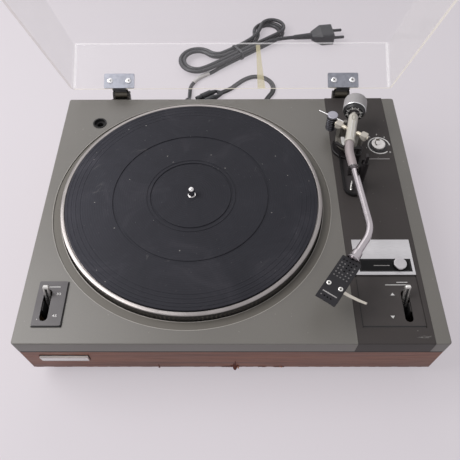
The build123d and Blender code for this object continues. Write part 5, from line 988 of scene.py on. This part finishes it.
def knob_pieces():
    here = at(*KNOB)
    piece("skate_knob_skirt", *put(here, ring([(2.2, 77.7), (3.2, 77.7), (3.2, 89.75), (10.9, 89.75),
        (11.0, 90.0), (11.0, 90.4), (10.7, 90.65), (9.3, 90.7), (2.2, 90.7)], 72)), dial_black, "skate_knob",
        ["anti_skate_knob"], sharp=28)
    wob = lambda r, h, a: r * (1 + (0.012 * math.cos(44 * a) if r > 8.1 and h < 93.2 else 0))
    cap = [(0, 90.5), (8.2, 90.5), (8.5, 90.8), (8.5, 92.9), (8.25, 93.4), (7.7, 93.65), (6.8, 93.5),
        (0, 93.35)]
    tab = prism([(-2.6, 5.0), (2.6, 5.0), (2.3, 8.2), (1.9, 9.9), (-1.9, 9.9), (-2.3, 8.2)], 90.6, 93.78)
    ridge = prism([(-3.4, 0.4), (-2.2, -1.4), (2.2, -1.4), (3.4, 0.4), (2.4, 4.8), (-2.4, 4.8)], 93.3, 93.75)
    piece("skate_knob_cap", *put(here, lathe(cap, 176, wobble=wob)), knob_metal, "skate_knob", sharp=35)
    piece("skate_knob_pointer", *put(here @ Matrix.Rotation(0.06, 4, "Z"), merged(tab, ridge)), knob_metal,
        "skate_knob", bevel=0.25)
    # Painted shade: dark patches beside the ridge and on the tab stand in for shade on the knob's face
    knob_shade = prism([(-3.9, -2.6), (-2.3, -3.4), (-0.9, 0.6), (-0.9, 4.9), (-3.3, 4.9), (-4.6, 1.2)], 93.3,
        93.52)
    piece("skate_knob_painted_shade", *put(here, merged(knob_shade, prism([(-2.4, 4.95), (2.4, 4.95), (2.1, 8.0),
        (-2.1, 8.0)], 93.6, 93.84))), olive_and_painted_shade, "skate_knob")
    button = [(0, 92.6), (6.5, 92.6), (6.75, 92.8), (6.75, 94.5), (6.5, 94.85), (6.0, 95.0), (4.4, 94.86),
        (2.2, 94.77), (0, 94.74)]
    piece("return_button_cap", *put(at(*BUTTON), lathe(button, 96)), button_metal, "button",
          ["return_button"], sharp=28)
    piece("return_button_stem", *put(at(*BUTTON), lathe([(0, 72), (3.9, 72), (3.9, 92.7), (0, 92.7)], 40)),
          steel, "button")


knob_pieces()


# Counterweight, dial, sleeve and side weight
def balance_pieces():
    shell = [(4.3, -51.2), (9.4, -51.3), (9.8, -51.9), (12.9, -51.95), (13.7, -51.6), (14.0, -50.9),
        (14.0, -49.4), (13.8, -49.2), (13.8, -48.9), (14.0, -48.7), (14.0, -35.0), (13.85, -34.7),
        (13.3, -34.5), (4.3, -34.5)]
    piece("counterweight_body", *put(REAR, ring(shell, 128)), weight_grey, "weight", ["counterweight"],
        sharp=24)
    piece("counterweight_rim", *put(REAR, ring([(12.9, -34.6), (13.9, -34.7), (14.0, -34.2), (13.6, -33.6),
        (12.9, -33.8)], 128)), screw_bright, "weight", sharp=30)
    wob = lambda r, h, a: r * (1 + (0.012 * math.cos(64 * a) if r > 12.4 else 0))
    dial = [(6.2, -33.85), (12.75, -33.85), (12.75, -32.4), (12.0, -31.6), (11.2, -29.6), (10.8, -29.35),
        (6.6, -29.35), (6.2, -29.6), (6.2, -33.85)]
    piece("dial_body", *put(REAR, lathe(dial, 256, wobble=wob)), dial_black, "weight_dial", ["weight_dial"],
        sharp=26)
    ticks = []
    for k in range(32):
        m = Matrix.Rotation(TAU * k / 32, 4, "Z")
        if k % 4 == 2:
            ticks.append(put(m, box(6.8, -0.62, -29.36, 10.3, 0.62, -29.26)))
        elif k % 2:
            ticks.append(put(m, box(7.0, -0.3, -29.36, 8.8, 0.3, -29.28)))
    piece("dial_ticks", *put(REAR, merged(*ticks)), white_ink_and_highlight, "weight_dial", sharp=20)
    for k, text in enumerate(("0", ".5", "1", ".5", "2", ".5", "3", ".5")):
        a = TAU * k / 8
        m = REAR @ Matrix.Rotation(a, 4, "Z") @ at(8.2, 0, -29.3) @ Matrix.Rotation(-TAU / 4, 4, "Z")
        label(f"dial_figure_{k}", text, 4.0 if k % 2 == 0 else 2.4, m, "weight_dial", 1.1)
    sleeve = [(1.0, -29.2), (3.0, -29.2), (3.0, -26.2), (4.0, -25.9), (4.9, -25.2), (5.5, -24.0),
        (5.8, -22.0), (5.8, 16.6), (6.1, 17.4), (6.25, 18.2), (6.25, 20.2), (6.0, 20.9), (5.1, 21.0),
        (5.0, 20.0)]
    piece("sleeve_shell", *put(REAR, ring(sleeve, 72)), cream, "arm", ["rear_sleeve"], sharp=28)
    top = REAR @ frame_at((5.55, 0, -17.0), (0, 0, 1), (1, 0, 0))
    oval = lambda a, b: [(a * math.cos(TAU * k / 40), b * math.sin(TAU * k / 40)) for k in range(40)]
    lips = [(4.4, 2.3, -0.9), (4.4, 2.3, 0.32), (3.6, 1.55, 0.32), (3.6, 1.55, -0.2)]
    port = loft([[(x, y, z) for x, y in oval(a, b)] for a, b, z in lips])
    piece("sleeve_port", *put(top, port), port_shade, "arm", sharp=35)
    # Painted highlight: two thin white strips along the sleeve stand in for its highlight streaks
    for k, turn in enumerate((-0.5, 0.16)):
        piece(f"sleeve_painted_highlight_{k}", *put(REAR @ Matrix.Rotation(turn, 4, "Z"),
            box(5.6, -0.35, -11.5, 5.98, 0.35, 16.2)), white_ink_and_highlight, "arm", bevel=0.12)
    side = at(*SIDE_WEIGHT)
    ribs = [(0, 99.9), (5.5, 99.9), (6.1, 100.3), (6.3, 101.0)]
    for k in range(6):
        z = 102 + 3.0 * k
        ribs += [(6.3, z), (6.05, z + 0.3), (6.05, z + 0.7), (6.3, z + 1.0)]
    ribs += [(6.3, 120.4), (0, 120.4)]
    piece("side_weight_body", *put(side, lathe(ribs, 64)), side_dark, "side_weight", ["lateral_weight"],
        sharp=28)
    piece("side_weight_cap", *put(side, lathe([(0, 120.3), (6.35, 120.3), (6.4, 120.7), (6.4, 122.3),
        (6.0, 122.8), (5.2, 122.9), (0, 122.75)], 64)), cap_silver, "side_weight", sharp=28)


balance_pieces()

# Headshell, cartridge and tube fittings
def arm_pieces():
    x0, x1, y0, y1, rear = 74.3, 95.2, -216.3, -161.2, -161.2
    cols, rows = [77.7 + 3.45 * k for k in range(5)], [-165.4 - 4.1 * k for k in range(6)]
    outline = [(x0, y0), (91.0, y0), (91.6, y0 - 0.25), (94.0, y0 - 0.25), (x1, y0 + 0.6), (x1, rear - 1.4),
        (94.6, rear - 0.4), (93.6, rear), (x0 + 0.6, rear), (x0, rear - 0.6)]
    holes = [(x, y, 0.95, 12) for x in cols for y in rows]
    holes += [(x, -211.7, 0.9, 12) for x in (78.0, 81.3, HEAD_X, 88.1)]
    skirt = 2.9
    shell = merged(box(x0, y0 + 4.2, -skirt, x0 + 1.2, rear - 1.5, 0.4), box(x1 - 1.2, y0 + 5.6, -skirt, x1,
        -163.5, 0.4), box(x0 + 1.0, rear - 2.2, -skirt, x1 - 3.2, rear - 1.2, 0.4))
    piece("headshell_skirts", *put(ARM, shell), head_dark, "arm", bevel=0.25)
    cu = bpy.data.curves.new("plate", "CURVE")
    cu.dimensions = "2D"
    cu.fill_mode = "BOTH"
    cu.extrude = 0.7
    for loop in [outline] + [[(x + r * math.cos(TAU * k / n), y + r * math.sin(TAU * k / n))
            for k in range(n)] for x, y, r, n in holes]:
        sp = cu.splines.new("POLY")
        sp.points.add(len(loop) - 1)
        sp.use_cyclic_u = True
        for p, (x, y) in zip(sp.points, loop):
            p.co = (x, y, 0, 1)
    piece("headshell_plate", *put(ARM, part_of(cu, up=1.0)), head_dark, "arm", ["headshell"], sharp=30)
    light = [(x, y) for k, y in enumerate(rows) for j, x in enumerate(cols) if k > 0
        and not (k < 4 and j in (2, 3) and k + j < 6)]
    eyes = [put(at(x, y), lathe([(0, 0.6), (0.8, 0.6), (0.8, 1.62), (0.7, 1.74), (0, 1.74)], 16))
            for x, y in light + [(78.0, -211.7)]]
    piece("headshell_eyelets", *put(ARM, merged(*eyes)), eyelet_grey, "arm", sharp=50)
    # Painted shade: a black sheet just under the plate makes its holes dark as shade
    piece("headshell_hole_shade", *put(ARM, box(x0 + 1.2, y0 + 1.5, 0.02, x1 - 1.2, rear - 2, 0.28)),
        black_and_painted_shade, "arm")
    for k, (x, y) in enumerate(((78.3, -197.4), (91.0, -197.4))):
        here = ARM @ at(x, y)
        piece(f"head_screw_{k}", *put(here, ring([(1.05, 1.75), (2.5, 1.75), (2.55, 2.0), (2.3, 2.65),
            (1.7, 2.95), (1.1, 2.95), (0.95, 2.7), (0.95, 1.9)], 36)), lever_metal, "arm",
            ["headshell_screws"] if not k else (), sharp=30)
        # Painted shade: a dark disc and bar in each screw's hollow stand in for the shade in its hole and
        # slot
        piece(f"head_screw_slot_shade_{k}", *put(here, merged(lathe([(0, 1.8), (1.0, 1.8), (1.0, 1.95), (0, 1.95)],
            20), box(-0.3, -0.95, 1.9, 0.3, 0.95, 2.15))), black_and_slot_shade, "arm")
        piece(f"head_screw_stem_{k}", *put(here, lathe([(0, -4.2), (1.2, -4.2), (1.2, 1.8), (0, 1.8)], 20)),
            steel, "arm")
    piece("headshell_rule", *put(ARM, bar(HEAD_X, -207.3, 15.0, 1.2, 1.7)), ink_dim, "arm")
    n, blade = 22, []
    path = [(95.2 + 22.6 * k / n, -198.2 + 1.6 * (k / n) ** 2, 1.15 + 0.9 * (k / n) ** 2)
        for k in range(n + 1)]
    for k, (x, y, z) in enumerate(path):
        w = 1.75 - 0.55 * k / n
        blade.append([(x, y - w, z - 0.5), (x, y + w, z - 0.5), (x, y + w, z + 0.1),
            (x, y + w * 0.5, z + 0.35), (x, y - w * 0.5, z + 0.35), (x, y - w, z + 0.1)])
    x, y, z = path[-1]
    bead = lathe([(0, -1.2), (0.8, -1.0), (1.15, -0.3), (1.15, 0.3), (0.8, 0.75), (0, 0.9)], 16)
    tip = put(at(x - 0.2, y, z) @ Matrix.Rotation(TAU / 4, 4, "Y"), bead)
    piece("finger_lift_arm", *put(ARM, merged(loft(blade), tip)), cream_block, "arm", ["finger_lift"],
        sharp=30)
    d2 = Vector((72.76, -88.19, 0)).normalized()
    clip = frame_at((11.94 + 27.86 * d2.x, -30.01 + 27.86 * d2.y, 0), (0, 0, 1), d2)
    piece("tube_clip", *put(ARM @ clip, merged(ring([(5.0, -1.9), (5.5, -1.85), (5.6, -1.6), (5.6, 1.6),
        (5.5, 1.85), (5.0, 1.9)], 56), box(-0.6, 4.6, -1.5, 2.4, 6.3, 1.4),
        box(-0.6, -6.3, -1.5, 2.4, -4.6, 1.4))), soft_black, "arm", sharp=30)
    nut = frame_at((HEAD_X, -157.0, 0), (0, 0, 1), (0, -1, 0))
    prof = [(3.7, -8.4), (4.7, -8.5), (5.2, -8.0), (5.45, -6.6), (5.6, -3.0), (5.75, -0.6), (6.1, 0.7),
        (6.7, 1.6), (6.85, 2.2), (6.85, 2.9), (6.5, 3.2), (4.05, 3.2)]
    piece("nut_polished", *put(ARM @ nut, ring(prof, 96)), tube_metal, "head_nut", ["locking_nut"], sharp=28)
    piece("nut_collars", *put(ARM @ nut, merged(ring([(3.2, 3.2), (5.2, 3.2), (5.2, 3.55), (3.2, 3.55)], 48),
        ring([(3.2, 3.85), (4.6, 3.85), (4.6, 4.15), (3.2, 4.15)], 48))), tube_metal, "head_nut", sharp=28)
    piece("nut_gasket", *put(ARM @ nut, ring([(2.8, 3.15), (4.7, 3.15), (4.7, 3.95), (2.8, 3.95)], 40)),
        black_and_slot_shade, "head_nut")
    body = merged(prism(rounded(HEAD_X, -187.5, 16.6, 26.6, 1.2, 4), -5.6, 0.02),
        prism(rounded(HEAD_X, -188.2, 15.0, 25.0, 1.5, 4), -12.6, -5.4), prism(rounded(HEAD_X, -187.4, 18.6,
        6.0, 1.0, 4), -3.2, -1.4))
    piece("cartridge_body", *put(ARM, body), cartridge_black, "arm", ["cartridge"], bevel=0.4)
    pin = put(Matrix.Rotation(TAU / 4, 4, "X"), lathe([(0, -3.4), (0.5, -3.4), (0.6, -3.0), (0.6, 1.5),
        (0, 1.5)], 12))
    pins = [put(at(HEAD_X + dx, -173.4, -7.4), pin) for dx in (-4.5, -1.5, 1.5, 4.5)]
    piece("cartridge_pins", *put(ARM, merged(*pins)), brass, "arm", sharp=30)
    for k, (dx, c) in enumerate(((-4.5, (0.5, 0.02, 0.02)), (-1.5, (0.02, 0.2, 0.05)),
            (1.5, (0.6, 0.6, 0.58)), (4.5, (0.03, 0.06, 0.35)))):
        steps = [i / 14 for i in range(15)]
        wire = [(HEAD_X + dx * (1 - 0.35 * t), -171.5 + 9.6 * t, -7.4 + 5.6 * math.sin(t * TAU / 4))
            for t in steps]
        piece(f"head_wire_{k}", *put(ARM, swept(wire, 0.45, 10)), surface(f"wire_{k}", c, 0.45, vary=0.05),
            "arm")


arm_pieces()


# Arm base, rest and lift
def base_pieces():
    piece("tray_stick", *put(frame_at((142.4, -3.2, 93.2), (1, 0, 0.0), (-0.2, -1.0, 0.0)),
        merged(lathe([(0, 0), (0.6, 0.1), (0.8, 0.8), (1.2, 7.0), (1.55, 13.4), (1.2, 14.3), (0, 14.4)],
        18))), lever_metal, "cabinet")
    fin = [(133.8, 53.9), (137.8, 53.4), (138.2, 47.0), (137.6, 42.6), (135.4, 39.2), (134.0, 45.4)]
    piece("yoke_fin", *prism(fin, 105.4, 107.6), white_ink_and_highlight, "yoke", bevel=0.3)
    half = [math.pi * (1 + k / 28) for k in range(29)]
    tray = [(TRAY_X + TRAY_R * math.cos(a), TRAY_Y + TRAY_R * math.sin(a)) for a in half]
    wall = [(TRAY_X - TRAY_R, 36.0)] + tray + [(TRAY_X + TRAY_R, 36.0)]
    slim = TRAY_IN / TRAY_R
    inner = [(TRAY_X + slim * (x - TRAY_X), y if y > -12 else TRAY_Y + (y - TRAY_Y) * slim) for x, y in wall]
    piece("tray_lip", *prism(wall + list(reversed(inner)), 93.6, 93.95), tray_black, "cabinet")
    here = at(*BASE_DISC)
    piece("base_disc_ring", *put(here, ring([(17.4, 92.8), (19.05, 92.6), (19.15, 93.4), (18.6, 93.9),
        (17.4, 93.9)], 96)), soft_black, "cabinet", sharp=30)
    piece("yoke_disc_trim", *put(here, ring([(14.2, 105.2), (15.9, 105.2), (16.45, 105.0), (16.5, 104.2),
        (16.6, 104.2), (16.6, 105.1), (16.0, 105.42), (14.2, 105.42)], 96)), base_grey, "yoke", sharp=30)


base_pieces()


# Front badge, splinters, hinges
def splinter_part(x0, x1, low, high, lobes, lean=0.0, proud=0.8):
    """A raw patch of torn veneer: an uneven outline on the front wood, thicker at its foot."""
    n = max(6, int((x1 - x0) * 1.6))
    top, foot = [], []
    for i in range(n + 1):
        t = i / n
        edge = math.sin(math.pi * t) ** 0.6
        lobe = max([h * math.exp(-(((x0 + (x1 - x0) * t) - c) / w) ** 2) for c, h, w in lobes] + [0])
        foot.append((x0 + (x1 - x0) * t, low + rng.uniform(0, 0.5)))
        rise = low + 0.6 + (high - low) * edge * rng.uniform(0.6, 1.0) + lobe
        top.append((x0 + (x1 - x0) * t + lean * lobe, rise))
    pts = foot + top[::-1]
    front = [(x, -201.62 - proud * rng.uniform(0.2, 0.7) * (1 if z < low + 2 else 0.4), z) for x, z in pts]
    rear = [(x, WOOD_INSIDE, z) for x, z in pts]
    k = len(pts)
    faces = [(i, i + 1, k - 2 - i, k - 1 - i) for i in range(n)]
    faces += [tuple(k + j for j in reversed(f)) for f in faces]
    faces += [(i, (i + 1) % k, k + (i + 1) % k, k + i) for i in range(k)]
    return front + rear, faces


def trim_pieces():
    x0, x1, z0, z1 = -197.4, -148.1, 45.4, 54.6
    lines = [prism(rounded((x0 + x1) / 2, z, x1 - x0 - 1.2, 0.3, 0.3, 3), 0, 0.06)
        for z in (z1 - 0.45, z0 + 0.45)]
    piece("badge_face", *put(frame_at((0, -204.17, 0), (1, 0, 0), (0, -1, 0)), merged(*lines)), plate_grey,
          "cabinet")
    # Painted shadow: a dark plate behind the badge shows as a shadow line round it
    piece("badge_painted_shadow", *box(-198.3, -202.1, 43.6, -147.2, -201.5, 55.4), black_and_painted_shade, "cabinet")
    low = FOOT_H
    patches = [splinter_part(-10.0, 9.0, low, low + 2.2, ((4.8, 19.0, 0.9), (3.4, 9.0, 1.6), (7.6, 7.0, 0.8),
        (1.0, 3.6, 1.6))), splinter_part(29.7, 38.6, low, low + 1.4, ((33.5, 1.2, 2.0),)),
        splinter_part(46.4, 58.0, low, low + 1.2, ((55.5, 1.6, 1.6),)), splinter_part(-79.0, -77.2, low - 2.6,
        low + 1.0, ((-78.0, 8.0, 0.5),))]
    pale = [splinter_part(6.2, 8.4, low + 0.4, low + 2.0, (), 0.0, 3.2), splinter_part(7.4, 8.8, low - 1.4,
        low, (), 0.0, 3.2), splinter_part(52.0, 56.0, low, low + 0.9, (), 0.0, 1.6)]
    piece("veneer_pale_flakes", *merged(*pale), splinter_pale, "cabinet", sharp=15)
    piece("veneer_splinters", *merged(*patches), splinter_brown, "cabinet", sharp=15)
    peel = [(2.6, -201.7, 24.5), (5.8, -201.7, 24.0), (6.6, -203.4, 19.6), (5.4, -204.3, 15.8),
        (3.6, -204.0, 14.9), (2.2, -203.0, 18.6)]
    inner = [(x, y + 0.7, z + 0.4) for x, y, z in peel]
    piece("veneer_peel", *loft([peel, inner]), splinter_brown, "cabinet", sharp=20)
    raw = []
    for k in range(26):
        x = -214 + 428 * (k + rng.uniform(0.1, 0.9)) / 26
        w = rng.uniform(2, 7)
        raw.append(prism([(x - w, WOOD_FACE), (x + w, WOOD_FACE), (x + w * 0.6, WOOD_INSIDE),
            (x - w * 0.6, WOOD_INSIDE)], low - 0.02, low + rng.uniform(0.3, 0.8)))
    piece("raw_lower_edge", *merged(*raw), splinter_brown, "cabinet", sharp=20)


splinter_brown = surface("splinter_brown", srgb(86, 36, 22), 0.75, vary=0.3, grain=900, bump_mm=0.1,
    blotch=260)
trim_pieces()


# Lid: folds with a painted glow for the light they catch, an old strip of tape, screws and hinges
def lid_pieces():
    fold = lambda r, n=6: [(0, 0)] + [(r - r * math.sin(TAU / 4 * k / n), r - r * math.cos(TAU / 4 * k / n))
        for k in range(n + 1)]
    along = frame_at((-207.9, 133.2, 151.45), (0, -1, 0), (1, 0, 0))
    piece("lid_fold_top", *put(LID @ along, prism([(x, -y) for x, y in fold(2.2)], 0, 415.8)), fold_painted_glow,
        "lid", sharp=60)
    posts = [prism([(side * (208.4 - x), 133.2 - y) for x, y in fold(3.2)], 91.0, 151.4) for side in (-1, 1)]
    piece("lid_fold_posts", *put(LID, merged(*posts)), fold_painted_glow, "lid", sharp=60)
    strip = [(33.3, 152.3), (38.8, 152.3), (40.6, 131), (43.2, 110), (45.6, 91.0), (35.2, 91.0), (34.6, 115),
        (34.0, 136)]
    tape = loft([[(x, y, z) for x, z in strip] for y in (136.25, 136.33)])
    piece("lid_tape", *put(LID, tape), tape_yellow, "lid")
    for k, x in enumerate(SCREW_X):
        here = LID @ frame_at((x, 131.637, 100.5), (1, 0, 0), (0, -1, 0))
        head = [(4.0, 0.0), (4.0, 0.25), (3.7, 0.75), (2.9, 1.25), (1.9, 1.52), (0, 1.6)]
        piece(f"hinge_screw_{k}", *put(here, lathe([(0, 0)] + head, 40)), screw_bright, "lid",
              ["hinge_screws"] if not k else (), sharp=32)
        turn = Matrix.Rotation(0.5 + 0.9 * k, 4, "Z")
        # Painted shade: a dark cross on each screw head stands in for the shade in its recess
        cross = merged(box(-1.7, -0.38, 1.2, 1.7, 0.38, 1.62), box(-0.38, -1.7, 1.2, 0.38, 1.7, 1.62))
        piece(f"hinge_screw_recess_shade_{k}", *put(here @ turn, cross), olive_and_painted_shade, "lid")
    for k, x in enumerate(HINGE_X):
        here = frame_at((x, HINGE.y, HINGE.z), (0, 1, 0), (1, 0, 0))
        roll = [(2.7, -7.9), (4.3, -7.9), (4.5, -7.7), (4.5, 7.7), (4.3, 7.9), (2.7, 7.9)]
        piece(f"hinge_roll_{k}", *put(here, ring(roll, 40)), olive_and_painted_shade, "lid", sharp=30)
        ends = [put(here, lathe([(0, s * 11.6), (2.2, s * 11.6), (3.9, s * 11.3), (4.2, s * 10.9),
            (4.2, s * 8.4), (0, s * 8.4)], 36)) for s in (-1, 1)]
        piece(f"hinge_ears_{k}", *merged(*ends), hinge_black, "cabinet", sharp=30)
        piece(f"hinge_strap_{k}", *put(LID, box(x - 10, 134.6, 90.55, x + 10, 145.1, 92.15)), hinge_black,
            "lid", bevel=0.2)
        piece(f"hinge_saddle_{k}", *box(x - 11.2, 143.2, 79.5, x + 11.2, 150.5, 84.2), hinge_black, "cabinet",
            bevel=0.4)
        s = -1 if x > 0 else 1
        rivet = lathe([(0, -0.4), (1.2, -0.4), (1.15, 0.1), (0.7, 0.4), (0, 0.5)], 16)
        spot = frame_at((x + s * 9.6, 145.75, 88.4), (1, 0, 0), (0, -1, 0.1))
        piece(f"hinge_rivet_{k}", *put(spot, rivet), screw_bright, "cabinet")
        piece(f"hinge_pin_end_{k}", *put(here, lathe([(0, 11.5), (1.3, 11.5), (1.3, 12.0), (0, 12.2)], 20)),
            screw_bright, "cabinet")


lid_pieces()


# The white band round the mains cord
def cord_band():
    line = [p / MM for p in curve_line(mains_cord) if -62.0 < p.x / MM < -35.0 and p.z < 0.0036 and
            262 < p.y / MM < 293]
    path = [line[0]]
    for p in line[1:]:
        if (p - path[-1]).length > 0.6 and p.x > path[-1].x:
            path.append(p)
    n = len(path)
    radii = [3.25 if 3 < k < n - 4 else 3.55 for k in range(n)]
    piece("mains_band", *swept([tuple(p + Vector((0, 0, 0.62))) for p in path], radii, 28), band_white,
        "cabinet", sharp=40)


cord_band()
